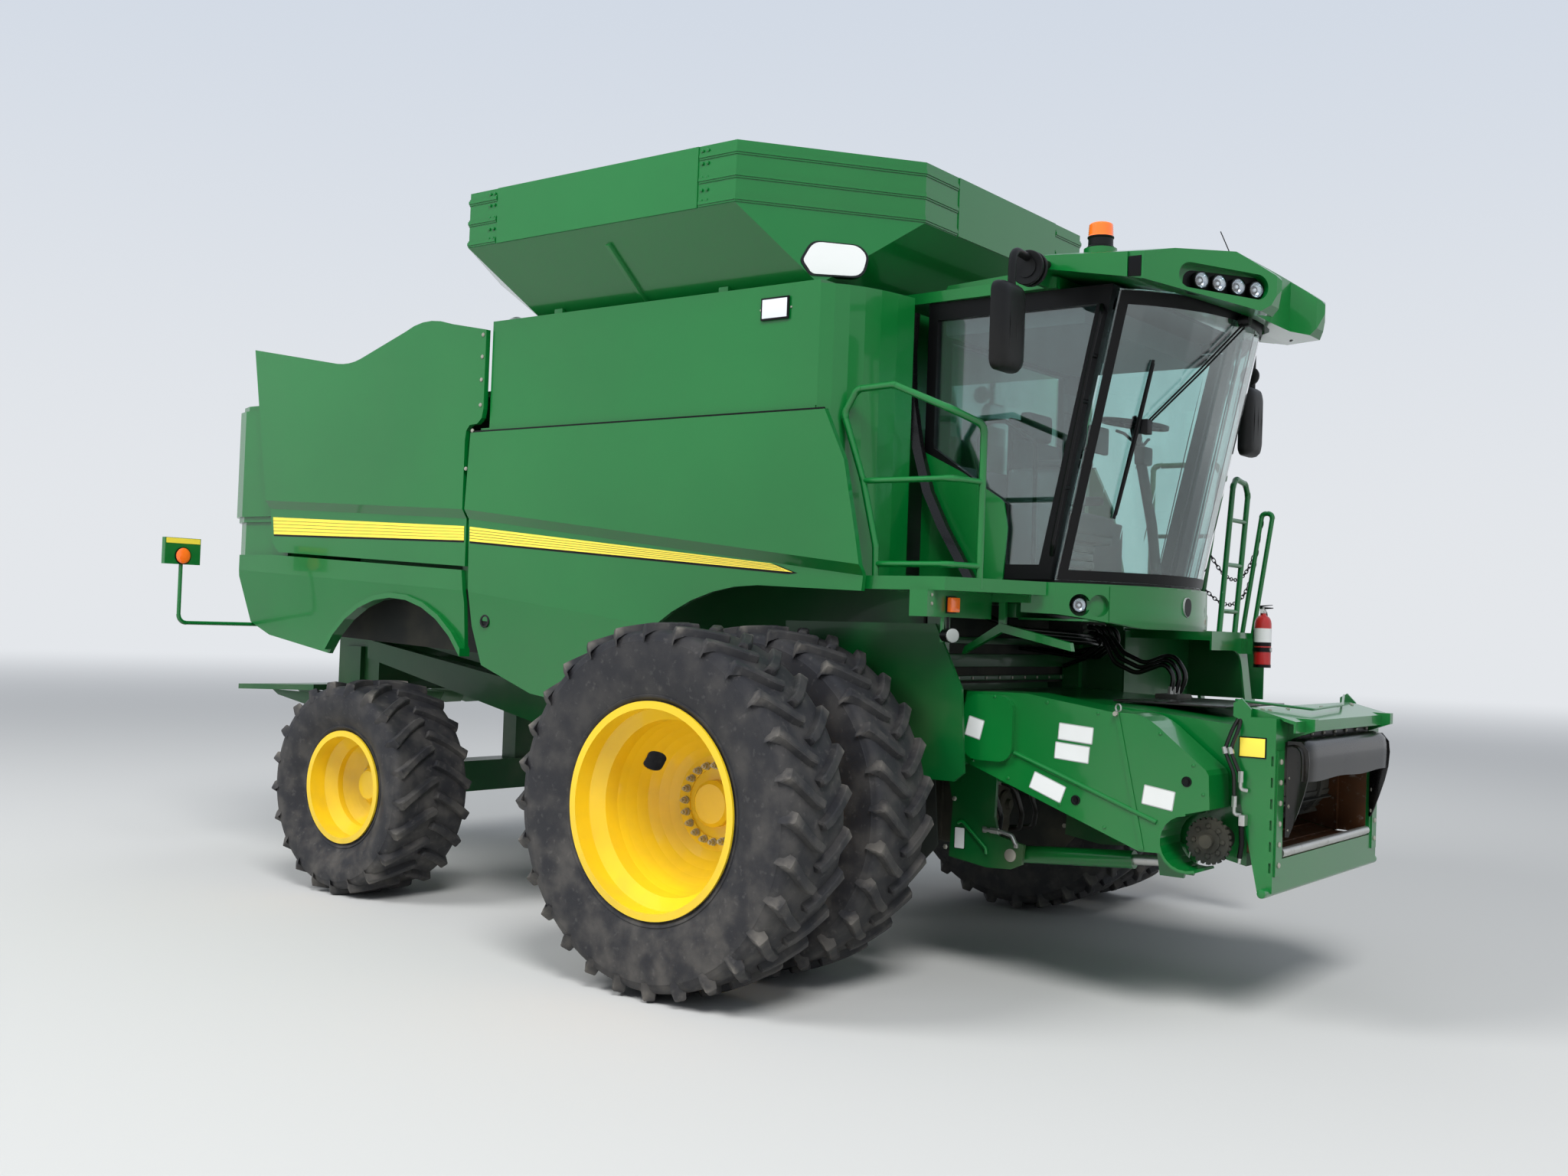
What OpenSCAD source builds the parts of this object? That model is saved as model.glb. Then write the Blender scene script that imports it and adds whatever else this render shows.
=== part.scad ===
// Self-propelled combine harvester on dual front wheels, without a header.
// Millimetres. +X is forward, +Y is the machine's left, +Z is up.
// The origin is on the ground, at the middle of the machine's length and width.
// Inside the modules x = 0 is the front axle; move_to_origin() shifts the whole machine.

/* [Front wheels] */
// Radius of a front tyre over its lugs
front_r = 965; // [900:5:1000]
// Width of one front tyre
front_w = 526; // [450:2:540]
// Radius of the front rim over its flange
front_rim_r = 558; // [540:1:570]
// Distance from the centre plane to the middle of the inner tyre
inner_dual_y = 1524; // [1500:2:1540]
// Distance between the middles of the two tyres of a pair
dual_pitch = 762; // [740:2:780]

/* [Rear wheels] */
// Distance between the front and rear axles
wheelbase = 3430; // [3350:10:3500]
// Radius of a rear tyre over its lugs
rear_r = 725; // [690:5:745]
// Width of a rear tyre
rear_w = 600; // [540:5:620]
// Radius of the rear rim over its flange
rear_rim_r = 381; // [370:1:390]
// Distance from the centre plane to the middle of a rear tyre
rear_track_y = 1570; // [1550:5:1620]
// Distance from the centre plane to the kingpin
kingpin_y = 1130; // [1100:5:1150]

/* [Tyres and rims] */
// Thickness of a tyre's wall
tyre_wall = 38; // [20:1:60]
// Height of the tread lugs
lug_h = 42; // [30:1:55]
// Pairs of lugs round a front tyre
front_lugs = 28; // [24:1:32]
// Pairs of lugs round a rear tyre
rear_lugs = 21; // [18:1:25]
// Thickness of the rim sheet
rim_sheet = 14; // [8:1:20]
// Radius of the front wheel shafts
shaft_r = 85; // [60:5:100]
// Running clearance of a shaft in its bore
running = 0.06; // [0.02:0.01:0.1]

/* [Body] */
// Outside of the side panels, from the centre plane
side_y = 1640; // [1600:5:1680]
// Thickness of the side panels
panel_t = 36; // [20:1:60]
// Height of the side panels' top edge
deck_z = 3120; // [3080:5:3160]
// Height of the grain tank's edge
tank_z = 3830; // [3780:5:3880]
// Half width of the threshing body
body_half = 840; // [800:5:850]
// Gap between neighbouring panels
panel_gap = 18; // [8:1:30]

/* [Grain tank extension] */
// Height of the extension's lower edge
rim_low_z = 4252; // [4200:4:4300]
// Height of the extension's upper edge
rim_top_z = 4600; // [4500:5:4700]
// Half width of the extension
rim_half = 1853; // [1800:5:1900]
// Thickness of the extension's sheet
sheet_t = 12; // [6:1:20]

/* [Cab] */
// Half width of the cab over its side frames
cab_half = 890; // [860:5:920]
// Height of the cab floor's top
cab_floor_z = 2230; // [2200:5:2260]
// Height of the cab side frames' top
cab_top_z = 3780; // [3740:5:3820]
// Forward lean of the windscreen in degrees
screen_lean = 12; // [8:0.5:15]
// Thickness of the window panes
glass_t = 8; // [5:1:12]

/* [Feeder house] */
// Height of the feeder house pivot
feeder_pivot_z = 1480; // [1450:5:1520]
// Half width of the feeder house
feeder_half = 700; // [660:5:730]
// Half width of the faceplate
face_half = 830; // [800:5:850]

/* [Unloading auger] */
// Length of the auger tube behind its elbow
auger_len = 6300; // [5200:50:6600]
// Radius of the auger tube
auger_r = 190; // [160:5:200]

/* [Hidden] */
$fn = 48;

green = [0.13, 0.42, 0.2];
dark_green = [0.09, 0.3, 0.15];
yellow = [0.95, 0.78, 0.15];
rubber = [0.13, 0.13, 0.14];
black = [0.08, 0.08, 0.09];
steel = [0.6, 0.6, 0.62];
tinted = [0.55, 0.78, 0.74, 0.5];

// Rearmost and foremost points of the machine
auger_pivot = [180, 1500];
rear_end_x = auger_pivot.x - auger_len;
face_x = 2620;
hook_len = 130;
front_end_x = face_x + hook_len;
origin_shift = -(rear_end_x + front_end_x) / 2;

front_axle_z = front_r;
rear_axle_z = rear_r;
outer_dual_y = inner_dual_y + dual_pitch;

// Points on an arc round a centre, from one angle to another
function arc(c, r, a0, a1, n) =
    [for (i = [0:n]) c + r * [cos(a0 + (a1 - a0) * i / n), sin(a0 + (a1 - a0) * i / n)]];
// Points on a curve from p to r that leans towards q
function bend(p, q, r, n) =
    [for (i = [0:n]) let (t = i / n) p * pow(1 - t, 2) + q * 2 * t * (1 - t) + r * pow(t, 2)];

// Rectangle with rounded corners, from corner a to corner b
function rounded(a, b, r) = concat(
    arc([b.x - r, b.y - r], r, 0, 90, 4), arc([a.x + r, b.y - r], r, 90, 180, 4),
    arc([a.x + r, a.y + r], r, 180, 270, 4), arc([b.x - r, a.y + r], r, 270, 360, 4)
);

module move_to_origin() translate([origin_shift, 0, 0]) children();
// Box between two corners
module span(a, b) translate(a) cube(b - a);
// Plate whose outline is given as [x, z], between two values of y
module plate_xz(points, y0, y1) translate([0, y1, 0]) rotate([90, 0, 0]) linear_extrude(y1 - y0)
    polygon(points);
// Plate whose outline is given as [y, z], between two values of x
module plate_yz(points, x0, x1) translate([x0, 0, 0]) rotate([90, 0, 90]) linear_extrude(x1 - x0)
    polygon(points);
// Plate whose outline is given as [x, y], between two values of z
module plate_xy(points, z0, z1) translate([0, 0, z0]) linear_extrude(z1 - z0) polygon(points);
// Round bar between two points
module bar(a, b, d) {
    v = b - a;
    translate(a) rotate([0, acos(v.z / norm(v)), atan2(v.y, v.x)]) cylinder(d = d, h = norm(v));
}
function unit(v) = v / norm(v);
// Turning angle of the path a, b, c at b
function turn_at(a, b, c) = 180 - acos(unit(a - b) * unit(c - b));
// Tube bend of radius r, a little wider than its tube, where the path a, b, c turns at b
module elbow(a, b, c, d, r) {
    u = unit(a - b);
    v = unit(c - b);
    turn = turn_at(a, b, c);
    t = r * tan(turn / 2);
    centre = b + unit(u + v) * r / cos(turn / 2);
    x = unit(b + u * t - centre);
    z = unit(cross(x, unit(b + v * t - centre)));
    y = cross(z, x);
    multmatrix([[x.x, y.x, z.x, centre.x], [x.y, y.y, z.y, centre.y], [x.z, y.z, z.z, centre.z],
        [0, 0, 0, 1]])
        rotate_extrude(angle = turn) translate([r, 0]) circle(d = d + 3);
}
// Bent tube through several points, with bends of radius r
module rail(points, d, r = 60) {
    last = len(points) - 1;
    for (i = [0:last - 1]) let (
        a = points[i],
        b = points[i + 1],
        cut_a = i == 0 ? 0 : r * tan(turn_at(points[i - 1], a, b) / 2) - 3,
        cut_b = i == last - 1 ? 0 : r * tan(turn_at(a, b, points[i + 2]) / 2) - 3
    ) bar(a + unit(b - a) * cut_a, b - unit(b - a) * cut_b, d);
    for (i = [1:last - 1]) elbow(points[i - 1], points[i], points[i + 1], d, r);
}
// Cylinder along Y between two distances from the centre plane, on the right side
module hub(x, z, y0, y1, r) translate([x, -y0, z]) rotate([90, 0, 0]) cylinder(r = r, h = y1 - y0);
module both_sides() {
    children();
    mirror([0, 1, 0]) children();
}

// Profile of a rim barrel as [radius, distance], round a middle distance
function barrel(r, w, mid, t) = let (h = w / 2, seat = r - 25, well = r - 85) [
    [r, mid - h], [r, mid - h + t], [seat, mid - h + t + 8], [seat, mid - h * 0.45],
    [well, mid - h * 0.2], [well, mid + h * 0.2], [seat, mid + h * 0.45],
    [seat, mid + h - t - 8], [r, mid + h - t], [r, mid + h],
    [seat - t, mid + h], [seat - t, mid + h * 0.45 + t],
    [well - t, mid + h * 0.2 + t / 2], [well - t, mid - h * 0.2 - t / 2],
    [seat - t, mid - h * 0.45 - t], [seat - t, mid - h]
];
// Profile of a hollow tyre as [radius, distance], its beads inside the flanges of a rim of width rw
function tyre_outline(r, rim, w, rw, mid) = let (
    h = w / 2, bead = rw / 2 - rim_sheet - 8.4, foot = rim - 24.7, side = (r + rim) / 2
) concat(
    [[foot, mid - bead], [rim + 2, mid - bead], [rim + 16, mid - bead - 12]],
    bend([rim + 30, mid - h * 0.92], [side - 30, mid - h - 14], [r - lug_h - 10, mid - h + 30], 5),
    [[r - lug_h, mid - h + 60]],
    [[r - lug_h, mid + h - 60]],
    bend([r - lug_h - 10, mid + h - 30], [side - 30, mid + h + 14], [rim + 30, mid + h * 0.92], 5),
    [[rim + 16, mid + bead + 12], [rim + 2, mid + bead], [foot, mid + bead]],
    [[foot, mid + bead - tyre_wall], [rim + 25, mid + bead - tyre_wall]],
    [[side, mid + h - tyre_wall - 10], [r - lug_h - tyre_wall, mid + h - tyre_wall - 60]],
    [[r - lug_h - tyre_wall, mid - h + tyre_wall + 60], [side, mid - h + tyre_wall + 10]],
    [[rim + 25, mid - bead + tyre_wall], [foot, mid - bead + tyre_wall]]
);
module turned(x, z) translate([x, 0, z]) rotate([90, 0, 0]) rotate_extrude($fn = 96) children();

// Lug from the tyre's middle to its shoulder, as [distance from the middle, run round the tyre]
lug_half = 93;
function lug_outline(w) = [
    [8, -lug_half], [w * 0.22, 45 - lug_half + 24], [w / 2 - 5, 2 * lug_half - 64 - lug_half],
    [w / 2 - 5, lug_half], [w * 0.22, 99 - lug_half + 24], [8, 48 - lug_half]
];
// Staggered lugs of both halves of a tread; lead is the sense in which they run back
module lugs(r, w, mid, count, lead) {
    top = sqrt(pow(r, 2) - pow(lug_half, 2));
    low = r - lug_h - 45;
    for (i = [0:count - 1]) for (side = [-1, 1])
        rotate([0, 0, -90 - lead * atan(lug_half / top) + (i + (side + 1) / 4) * 360 / count])
            translate([low, 0, mid]) rotate([0, 90, 0]) linear_extrude(top - low)
                polygon([for (p = lug_outline(w)) [side * p.x, lead * p.y]]);
}
module tyre(r, rim, w, rw, mid, x, z, count, lead) {
    turned(x, z) polygon(tyre_outline(r, rim, w, rw, mid));
    translate([x, 0, z]) rotate([90, 0, 0]) lugs(r, w, mid, count, lead);
}

rim_w = 440;
disc_t = 22;
hub_in = 160;
ring_r = 255;
// Dished disc from the barrel's well to the bolt ring, as [radius, distance]
function disc(rim, mid, weld, dish, ring) = concat(
    bend([rim - 92, mid + weld], [rim - 150, mid - dish * 0.75], [ring, mid - dish], 6),
    [[ring - 70, mid - dish], [ring - 70, mid - dish - disc_t]],
    bend([ring + 7, mid - dish - disc_t], [rim - 166, mid - dish * 0.75 - disc_t],
    [rim - 92, mid + weld - disc_t], 6)
);
hand_hole_r = 390;
// Oval holes through a front rim's disc
module hand_holes(y0, y1) for (a = [148, 328]) translate([0, 0, front_axle_z]) rotate([0, -a, 0]) {
    for (z = [-28, 28]) hub(hand_hole_r, z, y0, y1, 32);
    span([hand_hole_r - 32, -y1, -28], [hand_hole_r + 32, -y0, 28]);
}
module dual_rims() color(yellow) {
    inner_end = inner_dual_y - hub_in;
    outer_face = outer_dual_y - 318;
    for (mid = [inner_dual_y, outer_dual_y]) turned(0, front_axle_z)
        polygon(barrel(front_rim_r, rim_w, mid, rim_sheet));
    difference() {
        turned(0, front_axle_z) polygon(disc(front_rim_r, outer_dual_y, -20, 318, ring_r));
        hand_holes(outer_dual_y - 330, outer_dual_y - 40);
    }
    turned(0, front_axle_z) polygon(disc(front_rim_r, inner_dual_y, 30, 118, ring_r));
    // Drum from the inner wheel's hub to the outer wheel's bolt ring, with its cap
    turned(0, front_axle_z) polygon([
        [shaft_r + running, inner_end], [235, inner_end], [235, outer_face - 10], [125, outer_face - 10],
        [125, outer_face + 30], [105, outer_face + 48], [0, outer_face + 48], [0, outer_face + 20],
        [90, outer_face + 20], [90, outer_face - 40], [205, outer_face - 40], [205, inner_end + 140],
        [shaft_r + running, inner_end + 140]
    ]);
}
module dual_tyres() color(rubber) {
    for (mid = [inner_dual_y, outer_dual_y])
        tyre(front_r, front_rim_r, front_w, rim_w, mid, 0, front_axle_z, front_lugs, 1);
}

rear_rim_w = 480;
rear_hub_in = 110;
rear_shaft_r = 60;
module rear_rim() color(yellow) {
    inner_end = rear_track_y - rear_hub_in;
    turned(-wheelbase, rear_axle_z) polygon(barrel(rear_rim_r, rear_rim_w, rear_track_y, rim_sheet));
    turned(-wheelbase, rear_axle_z) polygon(disc(rear_rim_r, rear_track_y, 20, 60, 165));
    turned(-wheelbase, rear_axle_z) polygon([
        [rear_shaft_r + running, inner_end], [120, inner_end], [120, rear_track_y - 10],
        [95, rear_track_y + 20],
        [0, rear_track_y + 20], [0, rear_track_y - 8], [rear_shaft_r + running, rear_track_y - 8]
    ]);
}
module rear_tyre() color(rubber) tyre(
    rear_r, rear_rim_r, rear_w, rear_rim_w, rear_track_y, -wheelbase, rear_axle_z, rear_lugs, -1);

// Chassis
frame_y = 700;
frame_w = 110;
lift_y = 640;
lift_base = [1110, 700];
lift_eye = [2050, 770];
pivot_x = 760;
pivot_r = 40;
pin_r = 22;
leg_y = 703;
module main_frame() color(green) {
    both_sides() {
        // Side rails, rising behind the front axle to clear the steered wheels
        plate_xz([
            [820, 1180], [820, 1420], [-2500, 1420], [-4500, 1700], [-4500, 1560], [-2600, 1180]
        ], -frame_y - frame_w, -frame_y);
        // Leg ahead of the axle, and the pin of the lift cylinder
        plate_xz([
            [640, 1300], [800, 1330], [1010, 1210], [1000, 900], [1030, 800], [1190, 765], [1180, 655],
            [1110, 622],
            [960, 615], [713, 650], [728, 960]
        ], -leg_y - 25, -leg_y);
        hub(lift_base.x, lift_base.y, lift_y - 35, leg_y + 1, pin_r);
        // Ears and pins that carry the feeder house
        plate_xz([[560, 1419], [820, 1419], [840, 1520], [700, 1560], [600, 1560]], -740, -feeder_half - 12);
        hub(pivot_x, feeder_pivot_z, feeder_half - 50, feeder_half + 15, pivot_r);
    }
    for (x = [300, -1400, -2500]) span([x, -frame_y - 1, 1200], [x + 120, frame_y + 1, 1400]);
    span([-wheelbase - 70, -frame_y - 1, 1400], [-wheelbase + 70, frame_y + 1, 1450]);
    span([-4500, -frame_y - 1, 1580], [-4400, frame_y + 1, 1680]);
}
sep_side = body_half - 150;
// Shields between the inner wheels and the feeder house
module wheel_shields() color(green) both_sides() {
    plate_xz([
        [-210, 1960], [820, 1970], [1000, 1620], [1030, 1170], [970, 1120], [680, 1120], [620, 1440],
        [-210, 1500]
    ], -1130, -1110);
    span([300, -1111, 1900], [380, -sep_side - 0.3, 1960]);
    span([200, -1111, 1250], [280, -frame_y - frame_w - 0.3, 1370]);
    span([200, -1129, 1250], [280, -1110, 1600]);
}
// Posts and outriggers that carry the side panels
module panel_posts() color(green) both_sides() {
    span([-2560, fold_face + fold_t + 0.3, 2090], [-2500, -1520, 3100]);
    span([-2560, -1521, 2110], [-2500, -sep_side - 0.3, 2170]);
}

module front_axle() color(dark_green) {
    hub_end = inner_dual_y - hub_in;
    span([-159.7, -980, 800], [159.7, 980, 1130]);
    both_sides() {
        hub(0, front_axle_z, 979, hub_end - 15, 250);
        hub(0, front_axle_z, hub_end - 16, hub_end + 130, shaft_r);
        span([-140, -900, 1129], [140, -frame_y, 1179.7]);
    }
}

module rear_axle() color(dark_green) {
    x = -wheelbase;
    span([x - 110, -1000, 640], [x + 110, 1000, 860]);
    span([x - 70, -300, 859], [x + 70, 300, 1399.7]);
    both_sides() {
        // Yoke that holds the kingpin
        span([x - 80, -kingpin_y - 70, 880], [x + 80, -960, 930]);
        span([x - 80, -kingpin_y - 70, 570], [x + 80, -960, 620]);
        span([x - 80, -1001, 570], [x + 80, -960, 930]);
        translate([x, -kingpin_y, 600]) cylinder(r = 35, h = 300);
    }
}
module knuckle() color(dark_green) {
    x = -wheelbase;
    difference() {
        union() {
            translate([x, -kingpin_y, 630]) cylinder(r = 85, h = 240);
            hub(x, rear_axle_z, kingpin_y + 60, rear_track_y - rear_hub_in + 80, rear_shaft_r);
            // Steering arm towards the rear
            span([x - 270, -kingpin_y - 40, 660], [x, -kingpin_y + 40, 700]);
        }
        translate([x, -kingpin_y, 600]) cylinder(r = 35 + running, h = 300);
    }
}
module tie_rod() color(dark_green) {
    x = -wheelbase - 230;
    bar([x, -kingpin_y - 20, 723.6], [x, kingpin_y + 20, 723.6], 46);
}

// Threshing body, engine and hood
module separator_body() color(dark_green) {
    plate_xz([
        [560, 1560], [559.7, 2150], [300, 2260], [-2350, 2260], [-2350, 2480], [-4650, 2480], [-4850, 2250],
        [-4850, 1850], [-4300, 1720], [-2450, 1430], [-100, 1430]
    ], -sep_side, sep_side);
}
module engine_block() color([0.25, 0.27, 0.27]) span([-3900, -480, 2480], [-2500, 420, 3380]);

tank_x0 = -2200;
tank_x1 = 290;
tank_left_y = 1180;
tank_right_y = -1540;
module grain_tank() color(green) {
    t = 14;
    difference() {
        union() {
            span([tank_x0, tank_right_y, 3140], [tank_x1, tank_left_y, tank_z]);
            hull() {
                span([tank_x0, tank_right_y, 3139], [tank_x1, tank_left_y, 3140]);
                span([tank_x0 + 900, -500, 2260], [tank_x1 - 330, 500, 2270]);
            }
        }
        hull() {
            span([tank_x0 + t, tank_right_y + t, 3150], [tank_x1 - t, tank_left_y - t, tank_z + 1]);
            span([tank_x0 + 900 + t, -480, 2290], [tank_x1 - 330 - t, 480, 2300]);
        }
    }
}

bend_x = 667;
bend_y = 958;
ring_x0 = -2300;
ring_x1 = -114;
function ring(d) = [
    [ring_x1 + d * 0.6, -rim_half - d], [ring_x1 + bend_x + d, -bend_y - d * 0.6],
    [ring_x1 + bend_x + d, bend_y + d * 0.6], [ring_x1 + d * 0.6, rim_half + d],
    [ring_x0 - d * 0.6, rim_half + d], [ring_x0 - bend_x - d, bend_y + d * 0.6],
    [ring_x0 - bend_x - d, -bend_y - d * 0.6], [ring_x0 - d * 0.6, -rim_half - d]
];
module tank_extension() color(green) {
    difference() {
        plate_xy(ring(0), rim_low_z, rim_top_z);
        plate_xy(ring(-sheet_t), rim_low_z - 1, rim_top_z + 1);
    }
    difference() {
        hull() {
            plate_xy(ring(0), rim_low_z - 1, rim_low_z);
            span([tank_x0 + 220, tank_right_y + 40, tank_z], [tank_x1 - 70, tank_left_y - 5, tank_z + 4]);
        }
        hull() {
            plate_xy(ring(-sheet_t), rim_low_z - 1, rim_low_z + 1);
            span([tank_x0 + 220 + sheet_t, tank_right_y + 40 + sheet_t, tank_z - 1],
                [tank_x1 - 70 - sheet_t, tank_left_y - 5 - sheet_t, tank_z + 3]);
        }
    }
    difference() {
        span([tank_x0, tank_right_y, tank_z], [tank_x1, tank_left_y, tank_z + 10]);
        span([tank_x0 + 220 + sheet_t, tank_right_y + 40 + sheet_t, tank_z - 1],
            [tank_x1 - 70 - sheet_t, tank_left_y - 5 - sheet_t, tank_z + 11]);
    }
    extension_trim();
}

// Heights of the pressed ribs, and the edges of the flat sheets between the corner sheets
rib_z = [rim_low_z + 24, rim_low_z + 157, rim_low_z + 289];
seam_x = [-2040, -389];
seam_y = 600;
module extension_trim() color(green) {
    for (z = rib_z) difference() {
        union() {
            plate_xy(ring(5), z - 20, z + 20);
            plate_xy(ring(10), z - 9, z + 9);
        }
        plate_xy(ring(-6), z - 21, z + 21);
        span([seam_x[0] - 10, -rim_half - 60, z - 22], [seam_x[1] + 10, rim_half + 60, z + 22]);
        span([ring_x0 - bend_x - 60, -seam_y - 10, z - 22], [ring_x1 + bend_x + 60, seam_y + 10, z + 22]);
    }
    both_sides() span([seam_x[0], -rim_half - 6, rim_low_z + 2], [seam_x[1], -rim_half + 1, rim_top_z]);
    for (x = [ring_x0 - bend_x - 6, ring_x1 + bend_x - 1])
        span([x, -seam_y, rim_low_z + 2], [x + 7, seam_y, rim_top_z]);
}
corner = bend([310, -side_y + panel_t], [500, -1470], [545, -1020], 6);
module corner_sheet(z0, z1) plate_xy(concat(corner, flip_back(corner, 24)), z0, z1);
// The same curve, moved inwards and run backwards
function flip_back(points, t) = [for (i = [len(points) - 1:-1:0]) points[i] - [t, -t / 2]];
// Closes the space between the tank's front wall and a corner sheet
module corner_lid(z) plate_xy(concat([[tank_x1, -side_y + panel_t], corner[0]], corner, [[tank_x1, -1020]]),
    z, z + 20);
module tank_panels() color(green) {
    in_face = -side_y + panel_t;
    // Right side, with the rail that the big side panel hangs on
    span([-2320, in_face, deck_z + panel_gap], [310, tank_right_y, tank_z]);
    span([-2400, in_face + 0.3, deck_z - 60], [300, tank_right_y, deck_z + panel_gap + 1]);
    difference() {
        corner_sheet(2210, tank_z - 20);
        span([-100, -side_y - 1, 2000], [650, in_face + 45, deck_z + 1]);
    }
    corner_lid(tank_z - 40);
    span([-90, in_face - 8, 3635], [100, in_face + 1, 3755]);
    // Left side, set back behind the unloading auger, with the deck below it
    span([-2320, tank_left_y, deck_z], [tank_x1, tank_left_y + 20, tank_z]);
    mirror([0, 1, 0]) {
        span([-2320, in_face + 0.3, deck_z - 2], [tank_x1 + 1, -tank_left_y - 19, deck_z + panel_gap]);
        span([-2400, in_face + 0.3, deck_z - 60], [300, in_face + 50, deck_z]);
        difference() {
            corner_sheet(2210, deck_z - 2);
            span([-100, -side_y - 1, 2000], [650, in_face + 45, deck_z + 1]);
        }
        corner_lid(deck_z - 2);
        translate([auger_pivot.x, -auger_pivot.y, deck_z + panel_gap - 1]) cylinder(r = 95, h = 60);
        translate([auger_pivot.x, -auger_pivot.y, deck_z + 60]) cylinder(r = auger_r + 20, h = 42);
    }
}

// Crease that runs along the side: [x, z] of a point on it, its slope in degrees, how far the sheet
// steps in below it, the height of that step, and where the sheet turns under further down
front_crease = [-2490, 2610];
front_crease_slope = 6.2;
rear_crease_slope = 2.6;
fold_in = 40;
fold_h = 58;
under_z = -530;
under_in = 50;
fold_t = 30;
function fold_section(top) = [
    [-side_y, top], [-side_y, 0], [-side_y + fold_in, -fold_h], [-side_y + fold_in, under_z],
    [-side_y + fold_in + under_in, -1100], [-side_y + fold_in + under_in + fold_t, -1100],
    [-side_y + fold_in + fold_t, under_z], [-side_y + fold_in + fold_t, -fold_h], [-side_y + panel_t, -5],
    [-side_y + panel_t, top]
];
// Panel of the given outline, folded along the crease
module creased(outline, slope) intersection() {
    plate_xz(outline, -side_y - 1, -side_y + 200);
    translate([front_crease.x, 0, front_crease.y]) rotate([0, slope, 0])
        plate_yz(fold_section(1600), -3200, 3400);
}
front_arch = arc([-60, 850], 1300, 90, 163, 10);
module front_side_panel() color(green) creased(concat(
    [[-2460, deck_z - 10], [390, deck_z - 10], [530, 2830], [620, 2420], [655, 2240], [645, 2130]],
    front_arch,
    [[-2360, 1600], [-2440, 1850], [-2470, 2100], [-2490, 2600]]
), front_crease_slope);
module side_panel_right_front() front_side_panel();
module side_panel_left_front() mirror([0, 1, 0]) front_side_panel();

module side_panel_right_rear() color(green) creased(concat([
    [-2510, 2240], [-2512, 3060], [-2502, 3125], [-2470, deck_z + 40], [-2400, deck_z + 45],
    [-2358, deck_z + 80],
    [-2345, deck_z + 140], [-2345, 3775], [-2680, 3840]], bend([-2800, 3870], [-2990, 3905], [-3160, 3830],
    4),
    bend([-3640, 3680], [-3760, 3645], [-3900, 3665], 4), [[-4900, 3840], [-4690, 2710], [-4640, 2400],
    [-4560, 2330]
]), rear_crease_slope);
module side_panel_left_rear() color(green) mirror([0, 1, 0]) creased([
    [-2510, 2240], [-2510, deck_z + 80], [-4760, deck_z + 80], [-4690, 2710], [-4640, 2400], [-4560, 2330]
], rear_crease_slope);

rear_arch = arc([-3230, 1150], 870, 35, 148, 10);
arch_lip = arc([-3230, 1150], 905, 35, 148, 10);
fold_face = -side_y + fold_in;
module rear_shields() color(green) both_sides() {
    creased(concat(
        [[-4690, 1720], [-4920, 1810], [-5050, 2150], [-5050, 2310], [-4640, 2310], [-2540, 2215],
        [-2510, 2000]],
        rear_arch
    ), rear_crease_slope);
    // Lip round the wheel arch
    intersection() {
        plate_xz(concat(arch_lip, [for (i = [10:-1:0]) rear_arch[i]]), fold_face - 12, fold_face + 75);
        span([-5000, -side_y, 1640], [-2515, -1500, 2200]);
    }
    span([-5050, fold_face + fold_t - 1, 2250], [-4640, -1560.3, 2290]);
}
function hood_outline(d) = concat(
    [[-4600 + d, -1560 + d]], bend([-5100, -1560 + d], [-5480 + d, -1480 + d], [-5560 + d, -1000], 5),
    bend([-5560 + d, 1000], [-5480 + d, 1480 - d], [-5100, 1560 - d], 5), [[-4600 + d, 1560 - d]]
);
module rear_hood() color(green) {
    difference() {
        union() {
            plate_xy(hood_outline(fold_in), 2160, 2560);
            plate_xy(hood_outline(fold_in / 2), 2559, 2600);
            plate_xy(hood_outline(0), 2599, 3400);
            plate_xy(hood_outline(25), 3399, 3440);
        }
        plate_xy(hood_outline(fold_in + 30), 2159, 3380);
        span([-4610, -1490, 2159], [-4500, 1490, 3381]);
        // Lower on the left, where the unloading auger lies
        span([-5600, 1180, 3240], [-4500, 1600, 3441]);
        // Air slots in the back
        for (z = [2700:110:3250]) span([-5570, -700, z], [-5480, 700, z + 50]);
    }
    // Deck over the engine
    span([-4650, -1400, 3380.3], [-2330, 1180, 3420]);
    // Carriers from the threshing body
    span([-5540, -600, 2230], [-4850.3, 600, 2260]);
}
module tail_chopper() color(dark_green) {
    plate_xz([[-5020, 1330], [-4520, 1330], [-4520, 1771.7], [-4850, 1849.7], [-5020, 1849.7]], -680, 680);
    // Tailboard
    plate_xz([[-4900, 1335], [-4900, 1290], [-5900, 1250], [-5900, 1290]], -1000, 1000);
    both_sides() span([-4900, -720, 1280], [-4700, -679, 1640]);
}
module exhaust_stack() color(steel) {
    rail([[-3000, -700, 3420.3], [-3000, -700, 3900], [-3120, -700, 4050]], 130, 200);
}
module marker_arms() color(green) both_sides() {
    rail([[-4935, -680.3, 1790], [-4935, -2150, 1790], [-4935, -2150, 2230]], 28);
    span([-4955, -2290, 2210], [-4915, -2010, 2400]);
}

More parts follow.
